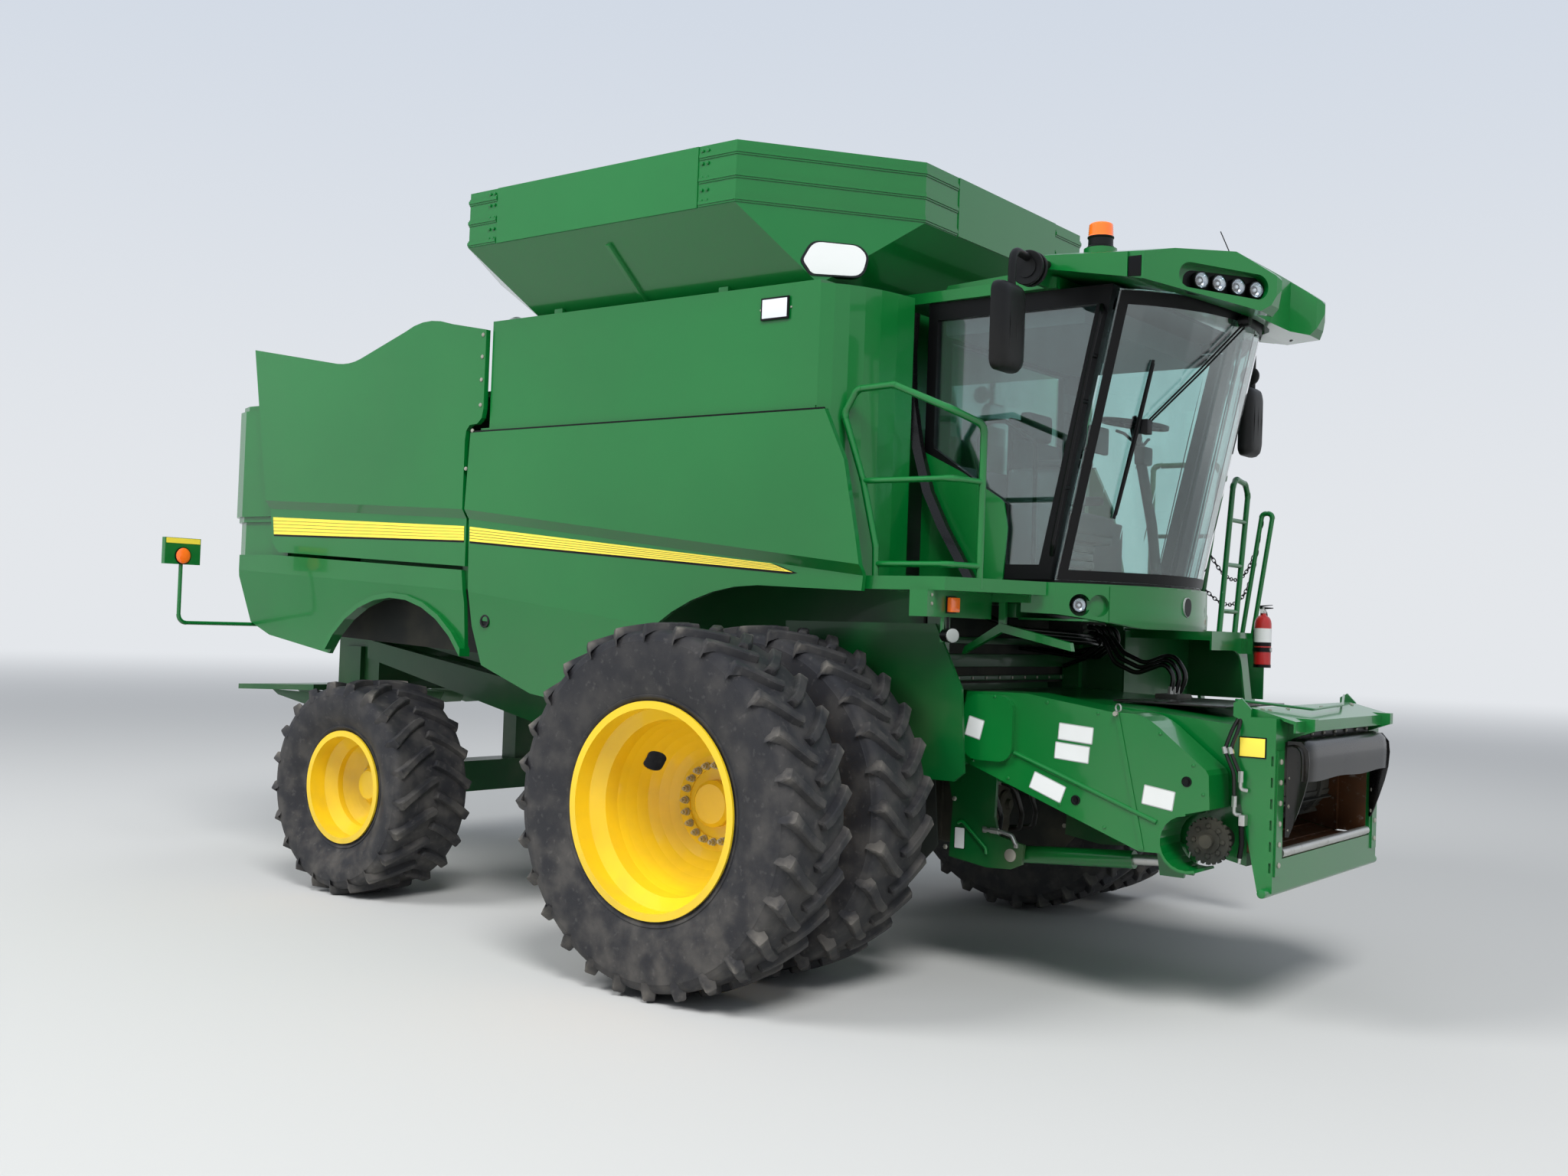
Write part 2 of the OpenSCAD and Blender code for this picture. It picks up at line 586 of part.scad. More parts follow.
// Cab
cab_x0 = 560;
screen_r = 1141;
screen_x = 1390;
function side_frame() = [[cab_x0, cab_floor_z], [cab_x0, cab_top_z], [1700, cab_top_z], [1380, cab_floor_z]];
module cab_shell() color(black) {
    // Floor, rear wall and roof frame
    plate_xy(concat([[cab_x0, -cab_half]], arc([screen_x - 761, 0], screen_r, -48, 48, 12),
        [[cab_x0, cab_half]]),
        cab_floor_z - 60, cab_floor_z);
    difference() {
        span([cab_x0, -cab_half, cab_floor_z], [cab_x0 + 50, cab_half, cab_top_z]);
        span([cab_x0 - 1, -700, 2900], [cab_x0 + 51, 700, 3600]);
    }
    span([cab_x0, -cab_half, cab_top_z], [1700, cab_half, cab_top_z + 20]);
    // Right side frame with its window
    difference() {
        plate_xz(side_frame(), -cab_half, -cab_half + 50);
        plate_xz([[cab_x0 + 60, 2970], [cab_x0 + 60, 3700], [1610, 3700], [1315, 2310], [1110, 2310],
            [1110, 2640], [830, 2830]], -cab_half - 1, -cab_half + 51);
    }
    // Left side frame round the door
    difference() {
        plate_xz(side_frame(), cab_half - 50, cab_half);
        plate_xz([[cab_x0 + 50, cab_floor_z - 1], [cab_x0 + 50, 3720], [1625, 3720], [1290, cab_floor_z - 1]],
            cab_half - 51, cab_half + 1);
    }
    // Hinge pins of the door
    for (z = hinge_z) {
        hinge_part(18, 570, cab_half - 1, z - 20, z - 0.3);
        hinge_part(18, 570, cab_half - 1, z + 60.3, z + 80);
        translate([door_hinge.x, door_hinge.y, z - 20]) cylinder(r = door_pin_r, h = 100);
    }
}
door_hinge = [cab_x0 + 48, cab_half + 28];
door_pin_r = 10;
hinge_z = [2420, 3380];
module hinge_part(r, x1, y0, z0, z1) {
    translate([door_hinge.x, door_hinge.y, z0]) cylinder(r = r, h = z1 - z0);
    span([min(door_hinge.x, x1), y0, z0], [max(door_hinge.x, x1), door_hinge.y, z1]);
}
function inset_door(d) = [
    [cab_x0 + 60 + d, cab_floor_z + 10 + d], [cab_x0 + 60 + d, 3710 - d], [1605 - d * 1.2, 3710 - d],
    [1282 - d, cab_floor_z + 10 + d]
];
module cab_door() color(black) difference() {
    union() {
        plate_xz(inset_door(0), cab_half - 45, cab_half + 10);
        for (z = hinge_z) hinge_part(18, 660, cab_half + 0.3, z, z + 60);
    }
    plate_xz(inset_door(60), cab_half - 46, cab_half + 11);
    for (z = hinge_z) translate([door_hinge.x, door_hinge.y, z - 1])
        cylinder(r = door_pin_r + running, h = 62);
}
module door_glass() color(tinted) plate_xz(inset_door(60), cab_half - 20, cab_half - 20 + glass_t);
module screen_strip(r, t) polygon(concat(
    arc([-761, 0], r, -48, 48, 12), [for (i = [12:-1:0]) [-761, 0] + (r - t) * [cos(-48 + 8 * i),
        sin(-48 + 8 * i)]]));
module cab_glass() color(tinted) {
    intersection() {
        translate([screen_x, 0, cab_floor_z]) rotate([0, screen_lean, 0]) translate([0, 0, -400])
            linear_extrude(2500) screen_strip(screen_r, glass_t);
        span([1000, -cab_half, cab_floor_z + 0.3], [2600, cab_half, cab_top_z - 0.3]);
    }
    plate_xz([[cab_x0 + 60, 2970], [cab_x0 + 60, 3700], [1610, 3700], [1315, 2310], [1110, 2310],
        [1110, 2640], [830, 2830]], -cab_half + 20, -cab_half + 20 + glass_t);
    span([cab_x0 + 20, -700, 2900], [cab_x0 + 20 + glass_t, 700, 3600]);
}
fascia_z = [1980, cab_floor_z - 15];
fascia_low_side_z = 2045;
module cab_base() color(green) {
    span([cab_x0, -cab_half - 49.7, 2100], [1290, cab_half + 49.7, cab_floor_z - 60.3]);
    both_sides() span([600, -860, 1440], [720, -frame_y - frame_w - 0.3, 2101]);
    // Curved fascia below the windscreen
    difference() {
        plate_xy(concat([[1240, -cab_half - 49.7]], arc([screen_x - 721, 0], screen_r, -50, 50, 12),
            [[1240, cab_half + 49.7]]), fascia_z[0], fascia_z[1]);
        plate_xy(concat([[1200, -cab_half - 30]], arc([screen_x - 761, 0], screen_r + 0.3, -48, 48, 12),
            [[1200, cab_half + 30]]), fascia_z[0] - 1, fascia_z[1] + 1);
        both_sides() plate_yz([
            [-1000, fascia_z[0] - 1], [-1000, fascia_low_side_z + 8], [-cab_half + 30, fascia_low_side_z],
            [-500, fascia_z[0] + 6], [-400, fascia_z[0] - 1]
        ], 1200, 1900);
        // Round recesses: one holds a lamp
        for (a = [-42.6, -37]) fascia_round(a, 60, 33, 60);
    }
    // Lower side panel
    plate_xz([
        [cab_x0, 2160], [cab_x0, 2950], [810, 2830], [1070, 2672], [1094, 2650], [1120, 2510], [1102, 2260],
        [1095, 2160]
    ], -cab_half - 12, -cab_half - 0.3);
    // Bent arm that hangs below the platform
    plate_xz([[868, 1806], [884, 1850], [1105, 1985], [1530, 1892], [1540, 1848], [1112, 1936]], -920, -880);
    span([1090, -912, 1950], [1130, -888, 2101]);
}
// Round form of radius r in the fascia's face, from a depth inwards to a depth outwards
module fascia_round(a, r, inwards, outwards)
    translate([screen_x - 721, 0, 2098]) rotate([0, 0, a]) translate([screen_r - inwards, 0, 0])
        rotate([0, 90, 0]) cylinder(r = r, h = inwards + outwards);
// Roof: right half of its outline, its height seen from the side, and its crown across
roof_side_y = 1060;
roof_half = [
    [1290, 1010], [1338, roof_side_y], [1870, roof_side_y], [1944, 1052], [2395, 385], [2408, 345],
    [2375, 300],
    [2235, 270], [2225, 0]
];
roof_profile = [
    [1280, 3801], [1280, 3870], [1300, 3900], [1345, 4060], [2140, 4060], [2240, 3975], [2320, 3920],
    [2391, 3868],
    [2420, 3830], [2378, 3708], [2342, 3670], [2228, 3699], [2116, 3727], [1944, 3770], [1365, 3880],
    [1350, 3801]
];
roof_crown = [[-1070, 3940], [-900, 3985], [-600, 4020], [-300, 4035], [0, 4040]];
roof_fall = 4;
pod_angle = -33.75;
pod_face = [2214, -646];
module cab_roof() color(green) {
    // Rear plate and the housing on it
    plate_xy(concat([[350, -900], [1330, -950]], arc([1340, -900], 50, -80, 0, 3),
        arc([1340, 900], 50, 0, 80, 3),
        [[1330, 950], [350, 900]]), cab_top_z + 20.3, 3862);
    plate_xz([[560, 3861], [600, 3925], [1282, 3960], [1300, 3861]], -760, 760);
    difference() {
        intersection() {
            plate_xy(concat([for (p = roof_half) [p.x, -p.y]],
                [for (i = [len(roof_half) - 2:-1:0]) roof_half[i]]), 3600, 4100);
            plate_xz(roof_profile, -roof_side_y - 1, roof_side_y + 1);
            translate([1338, 0, 0]) rotate([0, roof_fall, 0]) translate([-280, 0, 90])
                plate_yz(concat([[-1070, 3000]], [for (p = roof_crown) p - [0, 90]],
                    [for (i = [3:-1:0]) [-roof_crown[i].x, roof_crown[i].y - 90]],
                    [[1070, 3000]]), 0, 1800);
        }
        // Room for the windscreen and the cab's frame
        plate_xy(concat([[1200, -904]], arc([962, 0], 1180, -50, 50, 12), [[1200, 904]]), 3500,
            cab_top_z + 20.3);
        both_sides() {
            span([1858, -roof_side_y - 1, 3600], [1934, -roof_side_y + 14, 4100]);
            pod_recess();
        }
    }
    // Seat of the beacon
    translate([beacon.x, beacon.y, 3950]) cylinder(r = 90, h = 90);
}
beacon = [1527, -700];
// Oval recess of the lamps in a front pod
module pod_recess() translate([pod_face.x, pod_face.y, 3805]) rotate([0, 0, pod_angle]) rotate([-3, 0, 0]) {
    for (t = [-210, 200]) translate([-60, t, 0]) rotate([0, 90, 0]) cylinder(r = 66, h = 160);
    span([-60, -210, -66], [100, 200, 66]);
}
module work_lamps() color([0.9, 0.9, 0.92]) {
    both_sides() for (t = [-126, -18, 98, 210]) translate([pod_face.x, pod_face.y, 3798 - t * 0.05])
        rotate([0, 0, pod_angle])
        translate([-59.7, t, 0]) rotate([0, 90, 0]) cylinder(r = 46, h = 40);
    // Oval lamp below the right platform
    for (y = [-1465, -1415]) translate([1060.3, y, 1910]) rotate([0, 90, 0]) cylinder(r = 40, h = 65);
    span([1060.3, -1465, 1870], [1125.3, -1415, 1950]);
    fascia_round(-42.6, 42, 32.7, -14);
}
module roof_beacon() color([0.95, 0.45, 0.1]) translate([beacon.x, beacon.y, 4040.3]) {
    cylinder(r = 76, h = 120);
    translate([0, 0, 119]) cylinder(r = 66, h = 30);
}
module mirror_arm(x) {
    bar([x - 30, -1270, 3900], [x - 30, -roof_side_y - 0.3, 3900], 46);
    hub(x - 30, 3838, 1225, 1295, 92);
    rail([[x, -1490, mirror_top_z - 40], [x, -1490, 3890], [x - 25, -1280, 3890]], 44);
}
module mirror_head(x, z) {
    plate_yz(rounded([-1630, z - 230], [-1372, z + 225], 55), x - 45, x + 20);
    plate_yz(rounded([-1612, z - 212], [-1390, z + 207], 50), x + 19, x + 45);
}
mirror_top_z = 3715;
module cab_mirrors() color(black) {
    mirror_arm(1430);
    mirror_head(1430, 3490);
    mirror([0, 1, 0]) {
        mirror_arm(1560);
        bar([1560, -1490, mirror_top_z], [1560, -1490, 3550], 44);
        mirror_head(1560, 3372);
        hub(1585, 3650, 1370, 1391, 62);
        bar([1585, -1380, 3650], [1560, -1490, 3650], 24);
    }
}
module operator_seat() color([0.2, 0.2, 0.2]) {
    span([780, -260, cab_floor_z], [1200, 260, cab_floor_z + 420]);
    span([720, -260, cab_floor_z + 420], [820, 260, cab_floor_z + 1050]);
    span([860, -420, cab_floor_z + 420], [1280, -300, cab_floor_z + 640]);
    span([900, -301, cab_floor_z + 360], [1100, -259, cab_floor_z + 460]);
}
module steering_column() color([0.15, 0.15, 0.15]) {
    bar([1592, 0, cab_floor_z + 40], [1434, 0, 3162], 90);
    span([1520, -90, cab_floor_z], [1680, 90, cab_floor_z + 60]);
    translate([1430, 0, 3175]) rotate([0, -8, 0]) {
        rotate_extrude() translate([190, 0]) circle(r = 16);
        translate([0, 0, -30]) cylinder(r = 60, h = 50);
        for (a = [90, 210, 330]) rotate([0, 0, a]) rotate([0, 90, 0]) cylinder(r = 9, h = 190);
    }
}

// Platforms and access
right_deck = [[620, -1550], [1130, -1550], [1390, -940], [620, -940]];
module platform_right() color(green) {
    difference() {
        plate_xy(right_deck, 2143, 2214);
        plate_xy([[632, -1538], [1122, -1538], [1378, -952], [632, -952]], 2165, 2215);
    }
    rail([[672, -1510, 2160], [666, -1510, 2371], [569, -1510, 2731], [430, -1510, 3095], [510, -1510, 3225],
        [750, -1510, 3235], [1110, -1510, 3085], [1205, -1330, 3020], [1205, -1330, 2160]], 38);
    rail([[569, -1510, 2725], [1118, -1510, 2725], [1205, -1330, 2718]], 32);
    rail([[670, -1510, 2278], [1118, -1510, 2278], [1205, -1330, 2276]], 32);
    // Beam with the hanger of the oval lamp
    difference() {
        span([950, -1600, 2005], [1060, -941, 2144]);
        span([949, -1590, 2004], [1050, -950, 2134]);
    }
    span([1050, -1450, 1875], [1060, -1430, 2006]);
}
deck_left_z = [1930, 1988];
module platform_left() color(green) {
    plate_xy([[850, 940], [1560, 940], [1560, 1490], [1400, 1960], [850, 1960]], deck_left_z[0],
        deck_left_z[1]);
    // Raised sill beside the door, and its foot on the cab's post
    span([665, 940, deck_left_z[1] - 5], [860, 1960, 2035]);
    span([665, 860.3, deck_left_z[1] - 5], [720, 941, 2035]);
    // Front panel with its arched cut-out
    plate_yz(concat([[940, deck_left_z[1]], [1490, deck_left_z[1]], [1650, 1540], [1530, 1540]],
        bend([1455, 1760], [1420, 1868], [1310, 1870], 4), [[940, 1870]]), 1548, 1560);
    // Side rail, and the two handles of the ladder
    rail([[690, 1930, 2030], [690, 1930, 3150], [1150, 1930, 3150], [1190, 1930, 3080], [1050, 1930, 1980]],
        38, 40);
    bar([690, 1930, 2650], [1135, 1930, 2650], 30);
    rail([[1375, 1925, 1980], [1490, 1925, 2800], [1565, 1925, 2800], [1450, 1925, 1980]], 32, 30);
    plate_xy([[1360, 1900], [1475, 1900], [1475, 1950], [1360, 1950]], deck_left_z[0] + 20, deck_left_z[1]);
    // Front rail
    rail([[1530, 1130, 1980], [1530, 1290, 2930], [1530, 1340, 2980], [1530, 1500, 2960], [1530, 1550, 2890],
        [1530, 1390, 1980]], 36, 40);
    for (z = [2120, 2420, 2710]) let (y = 1130 + (z - 1980) * 0.168)
        bar([1530, y, z], [1530, y + 260, z], 28);
    // Bracket of the extinguisher
    span([1559, 1500, 1850], [extinguisher.x - extinguisher_r - 0.3, 1540, 1950]);
    span([1559, 1440, 1850], [1575, 1540, 1950]);
    // Lugs and pin of the ladder's hinge
    for (z = [ladder_eye_z - 15, ladder_eye_z + 30.3])
        span([ladder_hinge.x - 14, 1950, z], [ladder_hinge.x + 14, ladder_hinge.y + 12, z + 14.7]);
    translate([ladder_hinge.x, ladder_hinge.y, ladder_eye_z - 10]) cylinder(r = ladder_pin_r, h = 50);
}
extinguisher = [1668, 1520];
extinguisher_r = 56;
module fire_extinguisher() color([0.75, 0.08, 0.08]) translate([extinguisher.x, extinguisher.y, 0]) {
    translate([0, 0, 1765]) cylinder(r = extinguisher_r, h = 315);
    translate([0, 0, 2079]) cylinder(r1 = extinguisher_r, r2 = 18, h = 45);
    translate([0, 0, 2123]) cylinder(r = 18, h = 30);
    span([-12, -55, 2145], [12, 30, 2175]);
}
// Ladder on the left side, which swings forwards
ladder_hinge = [1384, 1978];
ladder_pin_r = 8;
ladder_eye_z = 1930;
ladder_x = [1010, 1372];
ladder_slope = 0.16;
module ladder() color(green) {
    for (x = ladder_x) plate_yz([[2000, 1985], [2062, 1985], [2322, 480], [2240, 480]], x, x + 24);
    for (z = [540:285:1680]) let (y = 2000 + (1985 - z) * ladder_slope)
        span([ladder_x[0] + 1, y + 4, z], [ladder_x[1] + 1, y + 105, z + 36]);
    difference() {
        union() {
            translate([ladder_hinge.x, ladder_hinge.y, ladder_eye_z]) cylinder(r = 14, h = 30);
            span([ladder_hinge.x - 10, ladder_hinge.y, ladder_eye_z],
                [ladder_hinge.x + 10, 2025, ladder_eye_z + 30]);
        }
        translate([ladder_hinge.x, ladder_hinge.y, ladder_eye_z - 1])
            cylinder(r = ladder_pin_r + running, h = 32);
    }
}

// Feeder house
module feeder_house() color(green) {
    difference() {
        plate_xz([[620, 1540], [620, 1250], [1000, 1100], [2440, 800], [2440, 1500], [1800, 1560],
            [760, 1600]],
            -feeder_half, feeder_half);
        plate_xz([[1000, 1500], [1000, 1160], [2441, 860], [2441, 1440], [1800, 1500]],
            -feeder_half + 30, feeder_half - 30);
        both_sides() hub(pivot_x, feeder_pivot_z, feeder_half - 60, feeder_half + 1, pivot_r + running);
    }
    // Ears on both sides of each lift rod's eye
    both_sides() for (y = [lift_y - 74, lift_y + 54])
        plate_xz([[1950, 910], [1985, 700], [2115, 700], [2150, 870]], -y - 20, -y);
}
scoop = [2240, 918];
scoop_r = 150;
cover_y = 1000;
module feeder_drive_cover() color(green) {
    inner = feeder_half + 45;
    plate_xz(concat([[950, 1225], [950, 1560]], bend([960, 1606], [1078, 1614], [1330, 1614], 4),
        [[1552, 1583], [1812, 1548]], bend([1949, 1546], [2040, 1530], [2131, 1447], 4),
        [[2335, 1290], [2350, 1265], [2359, 1097], [2250, 1068]], arc(scoop, scoop_r - 2, 96, 205, 6),
        [[1995, 851], [1198, 1135]]), -cover_y, -inner);
    // Curved guard round the drive's hub
    plate_xz(concat(arc(scoop, scoop_r, 92, 290, 12), arc(scoop, scoop_r - 14, 290, 92, 12)), -cover_y,
        -inner);
    // Bulge over the upper pulley, pressed rib and strap
    plate_xz(rounded([962, 1240], [1262, 1596], 80), -cover_y - 32, -cover_y + 1);
    bar([1262, -cover_y, 1293], [2084, -cover_y, 1008], 26);
    plate_xz([[1836, 1549], [1862, 1549], [2022, 862], [1996, 862]], -cover_y - 6, -cover_y + 1);
    for (x = [1200, 2000]) span([x, -inner - 1, 1250], [x + 100, -feeder_half - 0.3, 1350]);
}
pad_t = 8;
module feeder_faceplate() color(green) {
    difference() {
        plate_xz([[2440.3, 1560], [2440.3, 1180], [2545, 700], [face_x, 700], [face_x, 1560]], -face_half,
            face_half);
        span([2439, -face_half + 130, 860], [face_x + 1, face_half - 130, 1440]);
        both_sides() {
            // Side channels are open at the back
            span([2439, -face_half + 18, 900], [face_x - 24, -face_half + 106, 1420]);
            for (z = [800:105:1400])
                span([face_x - 20, -face_half - 1, z], [face_x - 8, -face_half + 12, z + 48]);
        }
    }
    // Sloped cover on top, with its lip
    plate_xz([
        [2440.3, 1559], [2440.3, 1598], [2470, 1604], [2700, 1548], [2700, 1492], [2688, 1492],
        [2688, 1534], [2640, 1546], [face_x, 1559]
    ], -face_half + 50, face_half - 50);
    both_sides() {
        // Pads that the header's frame rests against, hooks and upright ears
        span([face_x - 1, -810, 780], [face_x + pad_t, -730, 1400]);
        plate_xz([[face_x - 1, 1450], [face_x + hook_len, 1500], [face_x + hook_len, 1560],
            [face_x - 1, 1560]], -650, -600);
        plate_xz([[2445, 1540], [2400, 1560], [2400, 1625], [2440, 1650], [2490, 1600], [2490, 1540]],
            -face_half, -face_half + 14);
    }
    hub(face_x - 30, 702, -face_half - 40, face_half + 40, 23);
}
module feeder_hood() color(black) {
    span([face_x + 0.3, -590, 1425], [face_x + 16, 590, 1490]);
    // Curved awning of rubber with a flap at each end
    plate_xz(concat([[face_x + 0.3, 1444]], bend([face_x + 60, 1440], [face_x + 120, 1425],
        [face_x + 120, 1240], 6),
        bend([face_x + 108, 1240], [face_x + 108, 1412], [face_x + 58, 1428], 6), [[face_x + 0.3, 1430]]),
        -690, 690);
    both_sides() plate_xz([
        [face_x + 9, 1440], [face_x + 60, 1435], [face_x + 105, 1390], [face_x + 112, 1240],
        [face_x + 40, 960], [face_x + 9, 960]
    ], -690, -680);
}
module feeder_conveyor() color([0.35, 0.3, 0.25]) {
    translate([2250, 0, 1150]) rotate([90, 0, 0]) cylinder(r = 170, h = 1200, center = true);
    translate([2250, 0, 1150]) rotate([90, 0, 0]) cylinder(r = 40, h = 2 * feeder_half - 60.6, center = true);
    // Drive hub with its ring inside the curved guard
    hub(2315, 931, feeder_half + 0.3, 900, 62);
    hub(2315, 931, 899, 935, 34);
    hub(2315, 931, 872, 896, 108);
    for (a = [0:30:359]) translate([2315, 0, 931]) rotate([0, a, 0]) span([-9, -895, 100], [9, -873, 118]);
}

// Lift cylinders of the feeder house
lift_dir = lift_eye - lift_base;
lift_angle = atan2(lift_dir.y, lift_dir.x);
lift_len = norm(lift_dir);
module on_lift() translate([lift_base.x, -lift_y, lift_base.y]) rotate([0, -lift_angle, 0]) children();
module lift_barrels() color(green) both_sides() on_lift() {
    difference() {
        union() {
            rotate([90, 0, 0]) cylinder(r = 50, h = 70, center = true);
            translate([30, 0, 0]) rotate([0, 90, 0]) cylinder(r = 48, h = 670);
        }
        translate([100, 0, 0]) rotate([0, 90, 0]) cylinder(r = 28 + running, h = 700);
        rotate([90, 0, 0]) cylinder(r = pin_r + running, h = 80, center = true);
    }
}
module lift_rods() color(steel) both_sides() on_lift() {
    translate([280, 0, 0]) rotate([0, 90, 0]) cylinder(r = 28, h = lift_len - 280);
    translate([lift_len, 0, 0]) rotate([90, 0, 0]) cylinder(r = 48, h = 66, center = true);
}

// Unloading auger, folded back along the left side
auger_z = 3500;
module unloading_auger() color(green) {
    translate([auger_pivot.x, auger_pivot.y, deck_z + 102.3]) cylinder(r = auger_r + 20, h = 480);
    bar([auger_pivot.x, auger_pivot.y, auger_z], [rear_end_x, auger_pivot.y, auger_z], auger_r * 2);
    // Collars where the tube's sections meet, and the spout at its end
    for (x = [rear_end_x + 8, rear_end_x + 520, -2900, -500])
        bar([x, auger_pivot.y, auger_z], [x + 24, auger_pivot.y, auger_z],
        auger_r * 2 + 30);
    translate([rear_end_x + 240, auger_pivot.y, auger_z - auger_r - 130]) cylinder(r = 160, h = auger_r + 60);
}

move_to_origin() main_frame();
move_to_origin() separator_body();
move_to_origin() engine_block();
move_to_origin() grain_tank();
move_to_origin() tank_extension();
move_to_origin() tank_panels();
move_to_origin() rear_hood();
move_to_origin() rear_shields();
move_to_origin() wheel_shields();
move_to_origin() panel_posts();
move_to_origin() cab_shell();
move_to_origin() cab_base();
move_to_origin() cab_roof();
move_to_origin() cab_glass();
move_to_origin() operator_seat();
move_to_origin() steering_column();
move_to_origin() platform_right();
move_to_origin() platform_left();
move_to_origin() fire_extinguisher();
move_to_origin() front_axle();
move_to_origin() rear_axle();
move_to_origin() cab_mirrors();
move_to_origin() roof_beacon();
move_to_origin() work_lamps();
move_to_origin() marker_arms();
move_to_origin() tail_chopper();
move_to_origin() exhaust_stack();
move_to_origin() side_panel_right_front();
move_to_origin() side_panel_left_front();
move_to_origin() side_panel_right_rear();
move_to_origin() side_panel_left_rear();
move_to_origin() cab_door();
move_to_origin() door_glass();
move_to_origin() ladder();
move_to_origin() dual_rims();  // dual_rims_right
move_to_origin() dual_tyres();  // dual_tyres_right
move_to_origin() mirror([0, 1, 0]) dual_rims();  // dual_rims_left
move_to_origin() mirror([0, 1, 0]) dual_tyres();  // dual_tyres_left
move_to_origin() knuckle();  // knuckle_right
move_to_origin() mirror([0, 1, 0]) knuckle();  // knuckle_left
move_to_origin() tie_rod();
move_to_origin() rear_rim();  // rear_rim_right
move_to_origin() rear_tyre();  // rear_tyre_right
move_to_origin() mirror([0, 1, 0]) rear_rim();  // rear_rim_left
move_to_origin() mirror([0, 1, 0]) rear_tyre();  // rear_tyre_left
move_to_origin() feeder_house();
move_to_origin() feeder_drive_cover();
move_to_origin() feeder_faceplate();
move_to_origin() feeder_hood();
move_to_origin() feeder_conveyor();
move_to_origin() lift_barrels();
move_to_origin() lift_rods();
move_to_origin() unloading_auger();
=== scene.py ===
"""Combine harvester without a header: finishes, fine pieces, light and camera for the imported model.

Metres. +X is forwards, +Y is the machine's left, +Z is up, and the ground is at z = 0.
Sizes inside the classes count x from the front axle; the whole machine stands FRONT_AXLE_X further on.
"""

import logging
import math
from dataclasses import dataclass, field
from enum import Enum
from typing import Optional, Sequence

import bmesh
import bpy
from mathutils import Matrix, Vector

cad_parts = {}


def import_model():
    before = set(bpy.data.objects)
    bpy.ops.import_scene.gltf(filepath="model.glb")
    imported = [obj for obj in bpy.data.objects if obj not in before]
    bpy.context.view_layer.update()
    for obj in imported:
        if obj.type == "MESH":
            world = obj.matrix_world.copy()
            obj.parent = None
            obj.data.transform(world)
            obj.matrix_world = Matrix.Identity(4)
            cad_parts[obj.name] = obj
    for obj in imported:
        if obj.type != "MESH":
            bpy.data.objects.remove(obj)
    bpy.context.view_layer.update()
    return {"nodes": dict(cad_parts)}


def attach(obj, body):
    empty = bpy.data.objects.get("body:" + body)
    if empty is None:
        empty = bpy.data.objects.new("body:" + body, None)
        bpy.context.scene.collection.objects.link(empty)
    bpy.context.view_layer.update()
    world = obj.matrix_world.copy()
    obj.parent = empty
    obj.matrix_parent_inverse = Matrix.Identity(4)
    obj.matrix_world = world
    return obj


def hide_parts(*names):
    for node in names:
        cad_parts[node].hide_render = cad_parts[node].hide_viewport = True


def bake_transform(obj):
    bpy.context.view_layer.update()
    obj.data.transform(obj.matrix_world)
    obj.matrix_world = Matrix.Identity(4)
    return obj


LOG = logging.getLogger("harvester")
FRONT_AXLE_X = 1.685
SMOOTH_ANGLE = math.radians(32)
BEVEL_ANGLE = math.radians(25)
STRAIGHT_ANGLE = math.radians(88)
WELD_REACH = 1e-6
SAME_REACH = 1e-7
Point = tuple[float, float, float]
Flat = tuple[float, float]
Colour = tuple[float, float, float, float]
Tree = bpy.types.NodeTree
Socket = bpy.types.NodeSocket
Object = bpy.types.Object
RIGHT = -1.0
LEFT = 1.0
SIDES = (("right", RIGHT), ("left", LEFT))


class Plane(Enum):
    """Plane that an outline is drawn in; it is drawn out along the remaining axis."""

    XZ = "xz"
    YZ = "yz"


class Axis(Enum):
    """Axis that a turned shape turns about."""

    X = 0
    Y = 1
    Z = 2


class Layout(Enum):
    """How the copies of a form stand: round an axis, or at even steps."""

    RING = "ring"
    ROW = "row"


def linear(red: int, green: int, blue: int) -> Colour:
    """Turns a colour as a screen shows it into the linear colour that shaders take.

    Args:
        red, green, blue: channels from 0 to 255.

    Returns:
        The linear colour with full alpha.
    """
    out = []
    for channel in (red, green, blue):
        value = channel / 255
        out.append(value / 12.92 if value <= 0.04045 else ((value + 0.055) / 1.055) ** 2.4)
    return (out[0], out[1], out[2], 1.0)


HORIZON = linear(228, 231, 235)


def fill(node: bpy.types.Node, values: dict[object, object]) -> bpy.types.Node:
    """Sets and links the inputs of a node.

    Args:
        node: the node.
        values: for each input, by name or place, a socket to link or a plain value.

    Returns:
        The same node.
    """
    for key, value in values.items():
        if isinstance(value, Socket):
            node.id_data.links.new(value, node.inputs[key])
        else:
            node.inputs[key].default_value = value
    return node


def add_node(
    tree: Tree, kind: str, values: Optional[dict[object, object]] = None, **settings: object
) -> bpy.types.Node:
    """Adds a node.

    Args:
        tree: tree to add it to.
        kind: type of the node.
        values: its inputs, as fill takes them.
        settings: its own settings, such as the operation.

    Returns:
        The node.
    """
    node = tree.nodes.new(kind)
    for name, value in settings.items():
        setattr(node, name, value)
    return fill(node, values or {})


def math_node(tree: Tree, kind: str, *terms: object) -> Socket:
    """Adds a Math node for an operation such as "MULTIPLY", whose terms are sockets or numbers."""
    return add_node(tree, "ShaderNodeMath", dict(enumerate(terms)), operation=kind).outputs[0]


def ramp(tree: Tree, source: Socket, low: float, high: float) -> Socket:
    """Maps a value from low..high onto 0..1 with a smooth step."""
    values = {"Value": source, "From Min": low, "From Max": high}
    return add_node(tree, "ShaderNodeMapRange", values, interpolation_type="SMOOTHSTEP").outputs["Result"]


